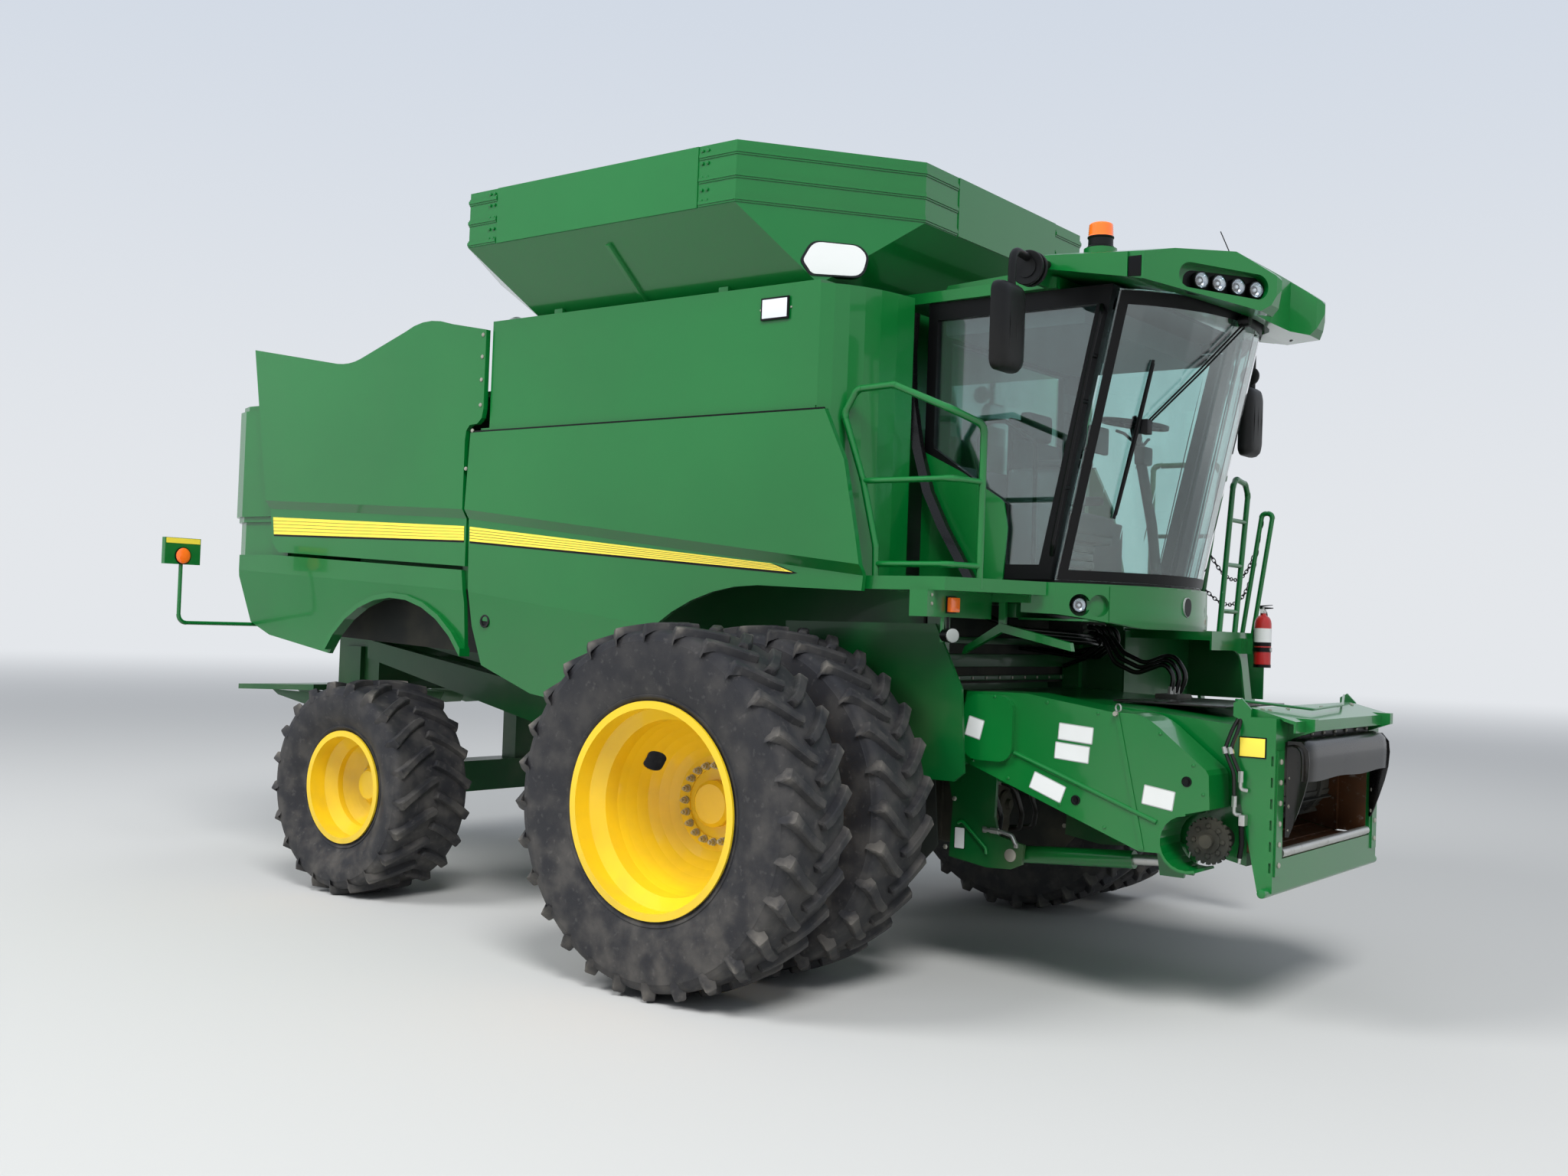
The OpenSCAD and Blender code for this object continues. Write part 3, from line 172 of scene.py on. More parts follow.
def mix(tree: Tree, factor: Socket, first: object, second: object) -> Socket:
    """Mixes two colours, each a colour or a socket."""
    return add_node(tree, "ShaderNodeMix", {"Factor": factor, 6: first, 7: second}, data_type="RGBA").outputs[2]


def noise(tree: Tree, scale: object, detail: float = 4.0, stretch: Optional[Point] = None) -> Socket:
    """Adds a noise on Object coordinates.

    Args:
        tree: tree to add it to.
        scale: a number, or a socket that gives the scale.
        detail: layers of detail.
        stretch: factors along the axes, where the pattern is drawn out.

    Returns:
        The noise's value.
    """
    source = add_node(tree, "ShaderNodeTexCoord").outputs["Object"]
    if stretch:
        source = add_node(tree, "ShaderNodeMapping", {"Scale": stretch, "Vector": source}).outputs["Vector"]
    return add_node(tree, "ShaderNodeTexNoise", {"Vector": source, "Scale": scale, "Detail": detail}).outputs["Fac"]


def height_of(tree: Tree, space: str = "Object") -> Socket:
    """Gives the height of the point that is shaded; in Generated space of the sky, that of the direction."""
    source = add_node(tree, "ShaderNodeTexCoord").outputs[space]
    return add_node(tree, "ShaderNodeSeparateXYZ", {0: source}).outputs["Z"]


def new_group(name: str, inputs: dict[str, float], outputs: Sequence[str]) -> Tree:
    """Starts a shader node group with plain number inputs.

    Args:
        name: name of the group.
        inputs: input names with their default values.
        outputs: names of the value outputs.

    Returns:
        The group, with its input and output nodes in place.
    """
    tree = bpy.data.node_groups.new(name, "ShaderNodeTree")
    for key, value in inputs.items():
        socket = tree.interface.new_socket(name=key, in_out="INPUT", socket_type="NodeSocketFloat")
        socket.default_value = value
    for key in outputs:
        tree.interface.new_socket(name=key, in_out="OUTPUT", socket_type="NodeSocketFloat")
    tree.nodes.new("NodeGroupInput").name = "in"
    tree.nodes.new("NodeGroupOutput").name = "out"
    return tree


def weathering_group() -> Tree:
    """Builds the group that masks dust: more of it low down and in patches.

    Returns:
        A group with inputs Amount, Patch scale and Reach, and outputs Dust and Grain.
    """
    tree = new_group("Weathering", {"Amount": 0.3, "Patch scale": 2.0, "Reach": 1.5}, ["Dust", "Grain"])
    source = tree.nodes["in"].outputs
    low = math_node(tree, "SUBTRACT", 1.0, math_node(tree, "DIVIDE", height_of(tree), source["Reach"]))
    patches = ramp(tree, noise(tree, source["Patch scale"], 8.0), 0.36, 0.74)
    mask = math_node(tree, "MULTIPLY", patches, math_node(tree, "MAXIMUM", low, 0.12))
    mask = math_node(tree, "MULTIPLY", mask, source["Amount"])
    fill(tree.nodes["out"], {"Dust": math_node(tree, "MINIMUM", mask, 1.0), "Grain": noise(tree, 180.0, 3.0)})
    return tree


def scuffs_group() -> Tree:
    """Builds the group that finds scuffed spots from fine noise.

    Returns:
        A group with inputs Amount and Scale, and the output Wear.
    """
    tree = new_group("Scuffs", {"Amount": 0.3, "Scale": 30.0}, ["Wear"])
    source = tree.nodes["in"].outputs
    spots = ramp(tree, noise(tree, source["Scale"], 10.0), 0.58, 0.72)
    fill(tree.nodes["out"], {"Wear": math_node(tree, "MULTIPLY", spots, source["Amount"])})
    return tree


def new_material(name: str) -> bpy.types.Material:
    """Starts a material that has nodes.

    Args:
        name: its name.

    Returns:
        The material.
    """
    material = bpy.data.materials.new(name)
    material.use_nodes = True
    return material


@dataclass(frozen=True)
class Finish:
    """One surface finish: paint, rubber, plastic or metal."""

    name: str
    colour: Colour
    roughness: float = 0.4
    metallic: float = 0.0
    coat: float = 0.0
    dust: float = 0.25
    reach: float = 1.6
    patch: float = 2.2
    dust_colour: Colour = linear(150, 140, 118)
    scuffs: float = 0.0
    scuff_colour: Colour = linear(120, 118, 110)
    grain: float = 0.03
    grain_scale: float = 260.0
    specular: float = 0.5
    wave: float = 0.0
    glow: float = 0.0
    attribute: str = ""

    def build(self) -> bpy.types.Material:
        """Builds the material's nodes.

        Returns:
            The new material.
        """
        material = new_material(self.name)
        tree = material.node_tree
        groups = bpy.data.node_groups
        weather = add_node(tree, "ShaderNodeGroup", node_tree=groups.get("Weathering") or weathering_group())
        fill(weather, {"Amount": self.dust, "Reach": self.reach, "Patch scale": self.patch})
        scuff = add_node(tree, "ShaderNodeGroup", node_tree=groups.get("Scuffs") or scuffs_group())
        fill(scuff, {"Amount": self.scuffs})
        varied = mix(tree, ramp(tree, noise(tree, 0.7, 3.0), 0.2, 0.8), self._scaled(0.9), self._scaled(1.08))
        worn = mix(tree, scuff.outputs["Wear"], varied, self.scuff_colour)
        mask = weather.outputs["Dust"]
        if self.attribute:
            mask = self._with_attribute(tree, mask)
        rough = math_node(tree, "MULTIPLY_ADD", mask, 0.45, self.roughness)
        uneven = math_node(tree, "MULTIPLY_ADD", weather.outputs["Grain"], 0.08, rough)
        shader = fill(tree.nodes["Principled BSDF"], {
            "Base Color": mix(tree, mask, worn, self.dust_colour),
            "Metallic": self.metallic,
            "Roughness": math_node(tree, "MINIMUM", uneven, 1.0),
            "Specular IOR Level": self.specular,
            "Coat Weight": self.coat,
            "Coat Roughness": 0.06,
            "Normal": self._bump(tree),
        })
        if self.glow:
            fill(shader, {"Emission Color": self.colour, "Emission Strength": self.glow})
        return material

    def _scaled(self, factor: float) -> Colour:
        """Gives the colour, lighter or darker."""
        return (self.colour[0] * factor, self.colour[1] * factor, self.colour[2] * factor, 1.0)

    def _with_attribute(self, tree: Tree, mask: Socket) -> Socket:
        """Adds the dust that the mesh itself marks, broken up by noise.

        Args:
            tree: the material's tree.
            mask: the dust so far.

        Returns:
            The dust with the marks in it.
        """
        marked = add_node(tree, "ShaderNodeAttribute", attribute_name=self.attribute).outputs["Fac"]
        broken = math_node(tree, "MULTIPLY", marked, ramp(tree, noise(tree, 9.0, 8.0), 0.38, 0.62))
        return math_node(tree, "MINIMUM", math_node(tree, "ADD", mask, broken), 1.0)

    def _bump(self, tree: Tree) -> Socket:
        """Adds fine grain and, for sheet metal, long shallow waves.

        Args:
            tree: the material's tree.

        Returns:
            The normal.
        """
        values = {"Strength": self.grain, "Distance": 0.002, "Height": noise(tree, self.grain_scale, 3.0)}
        if self.wave:
            broad = {"Strength": self.wave, "Distance": 0.02, "Height": noise(tree, 1.1, 1.0)}
            values["Normal"] = add_node(tree, "ShaderNodeBump", broad).outputs["Normal"]
        return add_node(tree, "ShaderNodeBump", values).outputs["Normal"]


@dataclass(frozen=True)
class Pane:
    """Clear or tinted glass."""

    name: str
    colour: Colour
    roughness: float = 0.03

    def build(self) -> bpy.types.Material:
        """Builds the glass with a plain transmission.

        Returns:
            The new material.
        """
        material = new_material(self.name)
        tree = material.node_tree
        streaks = noise(tree, 6.0, 6.0, (1.0, 1.0, 0.25))
        shaded = tuple(channel * 0.93 for channel in self.colour[:3]) + (1.0,)
        fill(tree.nodes["Principled BSDF"], {
            "Base Color": mix(tree, ramp(tree, streaks, 0.35, 0.7), self.colour, shaded),
            "Metallic": 0.0,
            "Roughness": math_node(tree, "MULTIPLY_ADD", streaks, 0.01, self.roughness),
            "IOR": 1.05,
            "Specular IOR Level": 1.0,
            "Transmission Weight": 1.0,
            "Coat Weight": 1.0,
            "Coat Roughness": 0.02,
            "Coat IOR": 2.0,
        })
        return material


class Finishes:
    """All finishes of the machine, each built the first time that it is asked for."""

    RECIPES = {
        recipe.name: recipe
        for recipe in (
            Finish("body green", linear(0, 104, 40), 0.26, coat=0.55, dust=0.06, wave=0.05, grain=0.012),
            Finish("frame green", linear(2, 84, 34), 0.36, coat=0.2, dust=0.35, reach=2.0, grain=0.03),
            Finish(
                "rim yellow", linear(238, 200, 34), 0.32, coat=0.4, dust=0.35, reach=1.6, patch=5.0,
                dust_colour=linear(170, 140, 70), grain=0.03,
            ),
            Finish("stripe yellow", linear(252, 226, 76), 0.35, coat=0.3, dust=0.05),
            Finish("stripe dark", linear(122, 116, 40), 0.4, dust=0.1),
            Finish(
                "tyre rubber", linear(38, 38, 41), 0.62, dust=0.5, reach=2.6, patch=7.0,
                dust_colour=linear(112, 108, 102), scuffs=0.35, scuff_colour=linear(86, 84, 82), grain=0.25,
                grain_scale=120.0, attribute="dusty",
            ),
            Finish(
                "black plastic", linear(13, 14, 15), 0.42, dust=0.08, reach=4.0, grain=0.1, grain_scale=420.0,
                specular=0.3
            ),
            Finish("dark trim", linear(5, 5, 6), 0.34, dust=0.02, grain=0.03, specular=0.25),
            Finish("black rubber", linear(7, 7, 8), 0.24, coat=0.15, dust=0.08, reach=3.0, grain=0.06, specular=0.4),
            Finish(
                "bright steel", linear(196, 196, 192), 0.3, metallic=0.85, dust=0.3, reach=2.0, scuffs=0.3, grain=0.05,
            ),
            Finish("stud zinc", linear(176, 172, 160), 0.4, metallic=0.6, dust=0.4, reach=2.0, grain=0.08),
            Finish(
                "worn steel", linear(88, 58, 36), 0.42, metallic=0.5, dust=0.7, reach=4.0, patch=6.0,
                dust_colour=linear(112, 66, 30), scuffs=0.6, scuff_colour=linear(150, 146, 140), grain=0.12,
            ),
            Finish("cast iron", linear(34, 38, 35), 0.6, metallic=0.3, dust=0.35, reach=3.5, grain=0.2),
            Finish("seat cloth", linear(40, 41, 44), 0.85, dust=0.15, grain=0.3, grain_scale=600.0),
            Finish("cab grey", linear(88, 90, 92), 0.55, dust=0.1, grain=0.1),
            Finish("red paint", linear(178, 22, 24), 0.3, coat=0.5, dust=0.2, reach=3.0),
            Finish("label white", linear(226, 228, 226), 0.5, dust=0.2, reach=3.0),
            Finish("label grey", linear(168, 172, 170), 0.5, dust=0.2, reach=3.0),
            Finish("amber lens", linear(255, 112, 20), 0.2, coat=0.9, dust=0.1, glow=0.12),
            Finish("lamp white", linear(232, 236, 240), 0.14, metallic=0.2, coat=1.0, dust=0.05),
            Finish("lamp chrome", linear(215, 220, 226), 0.08, metallic=1.0, dust=0.05, grain=0.01),
            Finish("mirror face", linear(190, 196, 200), 0.05, metallic=1.0, dust=0.05, grain=0.0),
            Pane("window tint", linear(208, 238, 234), 0.0), Pane("lamp glass", linear(240, 244, 246)),
        )
    }

    def __init__(self) -> None:
        """Starts with no finish built."""
        self._built: dict[str, bpy.types.Material] = {}

    def get(self, name: str) -> bpy.types.Material:
        """Gives a finish by name.

        Args:
            name: key in RECIPES.

        Returns:
            The finish's material.
        """
        if name not in self._built:
            self._built[name] = self.RECIPES[name].build()
        return self._built[name]


FINISHES = Finishes()


def turns(count: int) -> list[float]:
    """Lists even angles round a full turn."""
    return [math.tau * index / count for index in range(count)]


def arc_points(centre: Flat, radius: float, start: float, end: float, steps: int) -> list[Flat]:
    """Lists points on an arc."""
    angles = [math.radians(start + (end - start) * index / steps) for index in range(steps + 1)]
    return [(centre[0] + radius * math.cos(angle), centre[1] + radius * math.sin(angle)) for angle in angles]


def pulled(first: Vector, pull: Vector, last: Vector, steps: int) -> list[Vector]:
    """Lists points on a curve from first to last that leans towards pull."""
    shares = [index / steps for index in range(steps + 1)]
    return [first * (1 - t) ** 2 + pull * 2 * t * (1 - t) + last * t * t for t in shares]


def curve_points(first: Flat, pull: Flat, last: Flat, steps: int) -> list[Flat]:
    """Lists points in a plane on a curve from first to last that leans towards pull.

    Args:
        first, last: ends of the curve.
        pull: where it leans to.
        steps: number of chords.

    Returns:
        steps + 1 points.
    """
    shares = [index / steps for index in range(steps + 1)]
    return [
        tuple(first[k] * (1 - t) ** 2 + pull[k] * 2 * t * (1 - t) + last[k] * t * t for k in (0, 1)) for t in shares
    ]


def rounded_path(points: Sequence[Point], radius: float, steps: int = 5) -> list[Vector]:
    """Rounds the corners of a path.

    Args:
        points: corners of the path.
        radius: bend radius.
        steps: chords in each bend.

    Returns:
        The path's points.
    """
    path = [Vector(point) for point in points]
    out = [path[0]]
    for before, corner, after in zip(path, path[1:], path[2:]):
        into, away = (before - corner), (after - corner)
        reach = min(into.length, away.length) * 0.48
        into.normalize()
        away.normalize()
        half = into.angle(away) / 2
        if half > STRAIGHT_ANGLE:
            out.append(corner)
            continue
        cut = min(radius / math.tan(half), reach)
        out += pulled(corner + into * cut, corner, corner + away * cut, steps)
    out.append(path[-1])
    return out


def box(low: Vector, high: Vector) -> bmesh.types.BMesh:
    """Makes the form of a box between two corners.

    Args:
        low, high: the corners.

    Returns:
        The form.
    """
    part = bmesh.new()
    bmesh.ops.create_cube(part, size=1.0)
    bmesh.ops.scale(part, vec=high - low, verts=part.verts)
    bmesh.ops.translate(part, vec=(high + low) / 2, verts=part.verts)
    return part


def bridge(part: bmesh.types.BMesh, rings: Sequence[list], caps: bool = True) -> list:
    """Joins rings of vertices with faces.

    Args:
        part: the form that they are in.
        rings: rings of as many vertices each, in order.
        caps: whether the first and the last ring are closed.

    Returns:
        The new faces.
    """
    faces = []
    for ring, after in zip(rings, rings[1:]):
        for k in range(len(ring)):
            n = (k + 1) % len(ring)
            faces.append(part.faces.new((ring[k], ring[n], after[n], after[k])))
    if caps:
        faces += [part.faces.new(list(reversed(rings[0]))), part.faces.new(rings[-1])]
    return faces


def to_data(form: bmesh.types.BMesh, name: str) -> bpy.types.Mesh:
    """Turns a form into mesh data and frees it.

    Args:
        form: the form.
        name: name of the data.

    Returns:
        The mesh data.
    """
    data = bpy.data.meshes.new(name)
    form.to_mesh(data)
    form.free()
    return data


def new_object(name: str, data: bpy.types.ID) -> Object:
    """Puts data into the scene as an object.

    Args:
        name: the object's name.
        data: its mesh, lamp or camera.

    Returns:
        The object.
    """
    item = bpy.data.objects.new(name, data)
    bpy.context.scene.collection.objects.link(item)
    return item


class Piece:
    """One piece of the machine, gathered from simple closed forms."""

    def __init__(self, name: str, body: str, slot: str, finish: str) -> None:
        """Starts an empty piece.

        Args:
            name: the piece's name.
            body: the body that it rides on.
            slot: the record's material slot.
            finish: the finish of forms that name none.
        """
        self.name, self.body, self.slot, self.finish = name, body, slot, finish
        self.mesh = bmesh.new()
        self.finishes: list[str] = [finish]

    def take(
        self, part: bmesh.types.BMesh, finish: Optional[str] = None, bevel: float = 0.0, turn: Optional[Matrix] = None
    ) -> None:
        """Adds a form, with its edges rounded.

        Args:
            part: the form; it is freed.
            finish: its finish.
            bevel: width of the rounding, or 0.
            turn: matrix to place it with.
        """
        bmesh.ops.remove_doubles(part, verts=part.verts, dist=WELD_REACH)
        bmesh.ops.recalc_face_normals(part, faces=part.faces)
        if bevel:
            edges = [edge for edge in part.edges if edge.is_manifold and edge.calc_face_angle(0) > BEVEL_ANGLE]
            bmesh.ops.bevel(
                part, geom=edges, offset=bevel, segments=2, profile=0.6, affect="EDGES", clamp_overlap=True
            )
        if turn is not None:
            bmesh.ops.transform(part, matrix=turn, verts=part.verts)
        finish = finish or self.finish
        if finish not in self.finishes:
            self.finishes.append(finish)
        for face in part.faces:
            face.material_index = self.finishes.index(finish)
            face.smooth = True
        self._keep(part)

    def _keep(self, part: bmesh.types.BMesh) -> None:
        """Puts a finished form into the piece and frees it.

        Args:
            part: the form.
        """
        spare = to_data(part, "spare")
        self.mesh.from_mesh(spare)
        bpy.data.meshes.remove(spare)

    def block(self, low: Point, high: Point, finish: Optional[str] = None, bevel: float = 0.004) -> None:
        """Adds a box between two corners."""
        self.take(box(Vector(low), Vector(high)), finish, bevel)

    def loft(
        self, sections: Sequence[Sequence[Point]], finish: Optional[str] = None, bevel: float = 0.0,
        turn: Optional[Matrix] = None,
    ) -> None:
        """Adds a closed form through like sections, capped at both ends.

        Args:
            sections: rings of points, in order.
            finish: the form's finish.
            bevel: rounding of its edges.
            turn: matrix to place it with.
        """
        part = bmesh.new()
        bridge(part, [[part.verts.new(point) for point in section] for section in sections])
        self.take(part, finish, bevel, turn)

    def prism(
        self, outline: Sequence[Flat], plane: Plane, low: float, high: float, finish: Optional[str] = None,
        bevel: float = 0.0, turn: Optional[Matrix] = None,
    ) -> None:
        """Adds a plate from its outline.

        Args:
            outline: corners in the plane, in order.
            plane: plane of the outline.
            low, high: extent along the remaining axis.
            finish: the plate's finish.
            bevel: rounding of its edges.
            turn: matrix to place it with.
        """
        flat = plane is Plane.YZ
        sections = [[(level, a, b) if flat else (a, level, b) for a, b in outline] for level in (low, high)]
        self.loft(sections, finish, bevel, turn)

    def side_prism(
        self, outline: Sequence[Flat], sign: float, near: float, far: float, finish: Optional[str] = None,
        bevel: float = 0.0,
    ) -> None:
        """Adds a plate drawn in XZ that runs from near to far on one side of the machine."""
        self.prism(outline, Plane.XZ, *both_ways(sign, near, far), finish, bevel)

    def turned(
        self, profile: Sequence[Flat], centre: Point, axis: Axis, finish: Optional[str] = None, steps: int = 48,
        turn: Optional[Matrix] = None,
    ) -> None:
        """Adds a turned form.

        Args:
            profile: (radius, distance along the axis) points of the closed section, in order.
            centre: point on the axis that distances count from.
            axis: axis of turning.
            finish: the form's finish.
            steps: number of segments.
            turn: matrix to place it with.
        """
        part = bmesh.new()
        rings = []
        for angle in turns(steps):
            ring = []
            for radius, along in profile:
                a, b = radius * math.cos(angle), radius * math.sin(angle)
                offset = {Axis.X: (along, a, b), Axis.Y: (a, along, b), Axis.Z: (a, b, along)}[axis]
                ring.append(part.verts.new(Vector(centre) + Vector(offset)))
            rings.append(ring)
        for ring, after in zip(rings, rings[1:] + rings[:1]):
            for k in range(len(ring)):
                n = (k + 1) % len(ring)
                corners = [ring[k], ring[n], after[n], after[k]]
                distinct = [
                    c for i, c in enumerate(corners) if all((c.co - d.co).length > SAME_REACH for d in corners[:i])
                ]
                if len(distinct) > 2:
                    part.faces.new(distinct)
        self.take(part, finish, turn=turn)

    def boss(self, profile: Sequence[Flat], turn: Matrix, finish: Optional[str] = None, steps: int = 48) -> None:
        """Adds a form turned about its own X axis, laid where the matrix says."""
        self.turned(profile, (0, 0, 0), Axis.X, finish, steps, turn)

    def tube(
        self, points: Sequence[Point], radius: float, finish: Optional[str] = None, bend: float = 0.06, sides: int = 12,
        flat: float = 1.0,
    ) -> None:
        """Adds a round bar or tube along a path with rounded bends.

        Args:
            points: corners of the path.
            radius: half its thickness.
            finish: its finish.
            bend: bend radius at the corners.
            sides: number of faces round it.
            flat: factor of its thickness across the first bend's plane.
        """
        path = rounded_path(points, bend) if len(points) > 2 else [Vector(point) for point in points]
        side = (path[1] - path[0]).normalized().orthogonal().normalized()
        rings = []
        for index, point in enumerate(path):
            heading = (path[min(index + 1, len(path) - 1)] - path[max(index - 1, 0)]).normalized()
            side = (side - heading * side.dot(heading)).normalized()
            up = heading.cross(side)
            rings.append([
                point + side * radius * math.cos(angle) + up * radius * flat * math.sin(angle) for angle in turns(sides)
            ])
        self.loft(rings, finish)

    def rod(self, start: Point, end: Point, radius: float, finish: Optional[str] = None, sides: int = 20) -> None:
        """Adds a straight round bar."""
        self.tube([start, end], radius, finish, sides=sides)

    def panel(self, grid: Sequence[Sequence[Point]], thickness: float, finish: Optional[str] = None) -> None:
        """Adds a curved sheet from a grid of points, with a wall of even thickness.

        Args:
            grid: rows of points.
            thickness: thickness of the wall.
            finish: the sheet's finish.
        """
        part = bmesh.new()
        rows = [[part.verts.new(point) for point in row] for row in grid]
        for row, after in zip(rows, rows[1:]):
            for k in range(len(row) - 1):
                part.faces.new((row[k], row[k + 1], after[k + 1], after[k]))
        bmesh.ops.recalc_face_normals(part, faces=part.faces)
        bmesh.ops.solidify(part, geom=part.faces, thickness=thickness)
        self.take(part, finish)

    def mirrored(self) -> None:
        """Adds the mirror image of all that the piece has, across the machine's centre plane."""
        other = self.mesh.copy()
        bmesh.ops.transform(other, matrix=Matrix.Scale(-1, 4, (0, 1, 0)), verts=other.verts)
        bmesh.ops.reverse_faces(other, faces=other.faces)
        self._keep(other)

    def as_object(self) -> Object:
        """Makes the object, moved from the front axle's place to the machine's frame.

        Returns:
            The object, which isn't settled yet.
        """
        bmesh.ops.translate(self.mesh, vec=(FRONT_AXLE_X, 0, 0), verts=self.mesh.verts)
        data = to_data(self.mesh, self.name)
        for finish in self.finishes:
            data.materials.append(FINISHES.get(finish))
        data.set_sharp_from_angle(angle=SMOOTH_ANGLE)
        return new_object(self.name, data)

    def done(self, *replaced: str) -> Object:
        """Makes the object, puts it on its body and says which nodes it stands for."""
        return settle(self.as_object(), self.body, self.slot, *replaced)


def settle(item: Object, body: str, slot: str, *replaced: str) -> Object:
    """Puts a finished object on its body.

    Args:
        item: the object.
        body: the body that it rides on.
        slot: the record's material slot; not used.
        replaced: CAD nodes that it replaces.

    Returns:
        The same object.
    """
    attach(item, body)
    if replaced:
        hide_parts(*replaced)
    LOG.info("%s: %d faces on %s", item.name, len(item.data.polygons), body)
    return item


class Repeat:
    """Geometry Nodes trees that repeat a form, used through a modifier that is applied at once."""

    _trees: dict[Layout, Tree] = {}

    @classmethod
    def tree(cls, layout: Layout) -> Tree:
        """Builds the tree that repeats a form, or gives it when it is built already.

        Args:
            layout: how the copies stand.

        Returns:
            A tree with inputs Count and Finish, and Centre and Axis for a ring or Step for a row.
        """
        if layout in cls._trees:
            return cls._trees[layout]
        tree = bpy.data.node_groups.new(f"Repeat in a {layout.value}", "GeometryNodeTree")
        vectors = {Layout.RING: ("Centre", "Axis"), Layout.ROW: ("Step",)}[layout]
        kinds = {"Form": "Geometry", "Count": "Int", **dict.fromkeys(vectors, "Vector"), "Finish": "Material"}
        for name, kind in kinds.items():
            tree.interface.new_socket(name=name, in_out="INPUT", socket_type=f"NodeSocket{kind}")
        tree.interface.new_socket(name="Forms", in_out="OUTPUT", socket_type="NodeSocketGeometry")
        source = tree.nodes.new("NodeGroupInput").outputs
        offset = source["Step"] if layout is Layout.ROW else (0, 0, 0)
        points = add_node(tree, "GeometryNodeMeshLine", {"Count": source["Count"], "Offset": offset}).outputs[0]
        place = add_node(tree, "GeometryNodeInstanceOnPoints", {"Points": points, "Instance": source["Form"]})
        forms = cls._spread(tree, source, place.outputs[0]) if layout is Layout.RING else place.outputs[0]
        real = add_node(tree, "GeometryNodeRealizeInstances", {0: forms}).outputs[0]
        dress = add_node(tree, "GeometryNodeSetMaterial", {"Geometry": real, "Material": source["Finish"]})
        add_node(tree, "NodeGroupOutput", {0: dress.outputs[0]})
        cls._trees[layout] = tree
        return tree

    @staticmethod
    def _spread(tree: Tree, source: bpy.types.NodeOutputs, forms: Socket) -> Socket:
        """Turns the copies round the axis, each by its share of a full turn.

        Args:
            tree: the ring's tree.
            source: outputs of its input node.
            forms: the copies.

        Returns:
            The copies in their places.
        """
        index = add_node(tree, "GeometryNodeInputIndex").outputs[0]
        angle = math_node(tree, "MULTIPLY", math_node(tree, "DIVIDE", index, source["Count"]), math.tau)
        rotation = add_node(tree, "FunctionNodeAxisAngleToRotation", {"Axis": source["Axis"], "Angle": angle})
        return add_node(tree, "GeometryNodeRotateInstances", {
            "Instances": forms, "Rotation": rotation.outputs[0], "Pivot Point": source["Centre"], "Local Space": False,
        }).outputs[0]

    @classmethod
    def _apply(cls, piece: Piece, layout: Layout, values: dict[str, object]) -> Object:
        """Makes a piece's object, runs a tree on it and keeps the result as its plain mesh.

        Args:
            piece: the form.
            layout: how the copies stand.
            values: values of the tree's inputs by name.

        Returns:
            The object, which isn't settled yet.
        """
        item = piece.as_object()
        tree = cls.tree(layout)
        modifier = item.modifiers.new("repeat", "NODES")
        modifier.node_group = tree
        names = {socket.name: socket.identifier for socket in tree.interface.items_tree if socket.in_out == "INPUT"}
        for name, value in {**values, "Finish": FINISHES.get(piece.finish)}.items():
            modifier[names[name]] = value
        bpy.context.view_layer.update()
        depsgraph = bpy.context.evaluated_depsgraph_get()
        result = bpy.data.meshes.new_from_object(item.evaluated_get(depsgraph), depsgraph=depsgraph)
        item.modifiers.remove(modifier)
        old = item.data
        item.data = result
        bpy.data.meshes.remove(old)
        return item

    @classmethod
    def ring_object(cls, piece: Piece, count: int, centre: Point, axis: Point) -> Object:
        """Repeats a piece round an axis without settling it yet."""
        middle = (centre[0] + FRONT_AXLE_X, centre[1], centre[2])
        return cls._apply(piece, Layout.RING, {"Count": count, "Centre": middle, "Axis": axis})

    @classmethod
    def ring(cls, piece: Piece, count: int, centre: Point, axis: Point) -> Object:
        """Repeats a piece round an axis and settles the result, as ring_object takes it."""
        return settle(cls.ring_object(piece, count, centre, axis), piece.body, piece.slot)

    @classmethod
    def row(cls, piece: Piece, count: int, step: Point) -> Object:
        """Repeats a piece in a row and settles the result."""
        return settle(cls._apply(piece, Layout.ROW, {"Count": count, "Step": step}), piece.body, piece.slot)


def join(items: Sequence[Object], name: str) -> Object:
    """Joins objects that are not settled yet into one.

    Args:
        items: the objects.
        name: name of the result.

    Returns:
        The joined object.
    """
    whole = bmesh.new()
    materials: list[bpy.types.Material] = []
    for item in items:
        shift = {}
        for index, material in enumerate(item.data.materials):
            if material not in materials:
                materials.append(material)
            shift[index] = materials.index(material)
        start = len(whole.faces)
        whole.from_mesh(item.data)
        whole.faces.ensure_lookup_table()
        for face in whole.faces[start:]:
            face.material_index = shift.get(face.material_index, 0)
        old = item.data
        bpy.data.objects.remove(item)
        bpy.data.meshes.remove(old)
    data = to_data(whole, name)
    for material in materials:
        data.materials.append(material)
    return new_object(name, data)


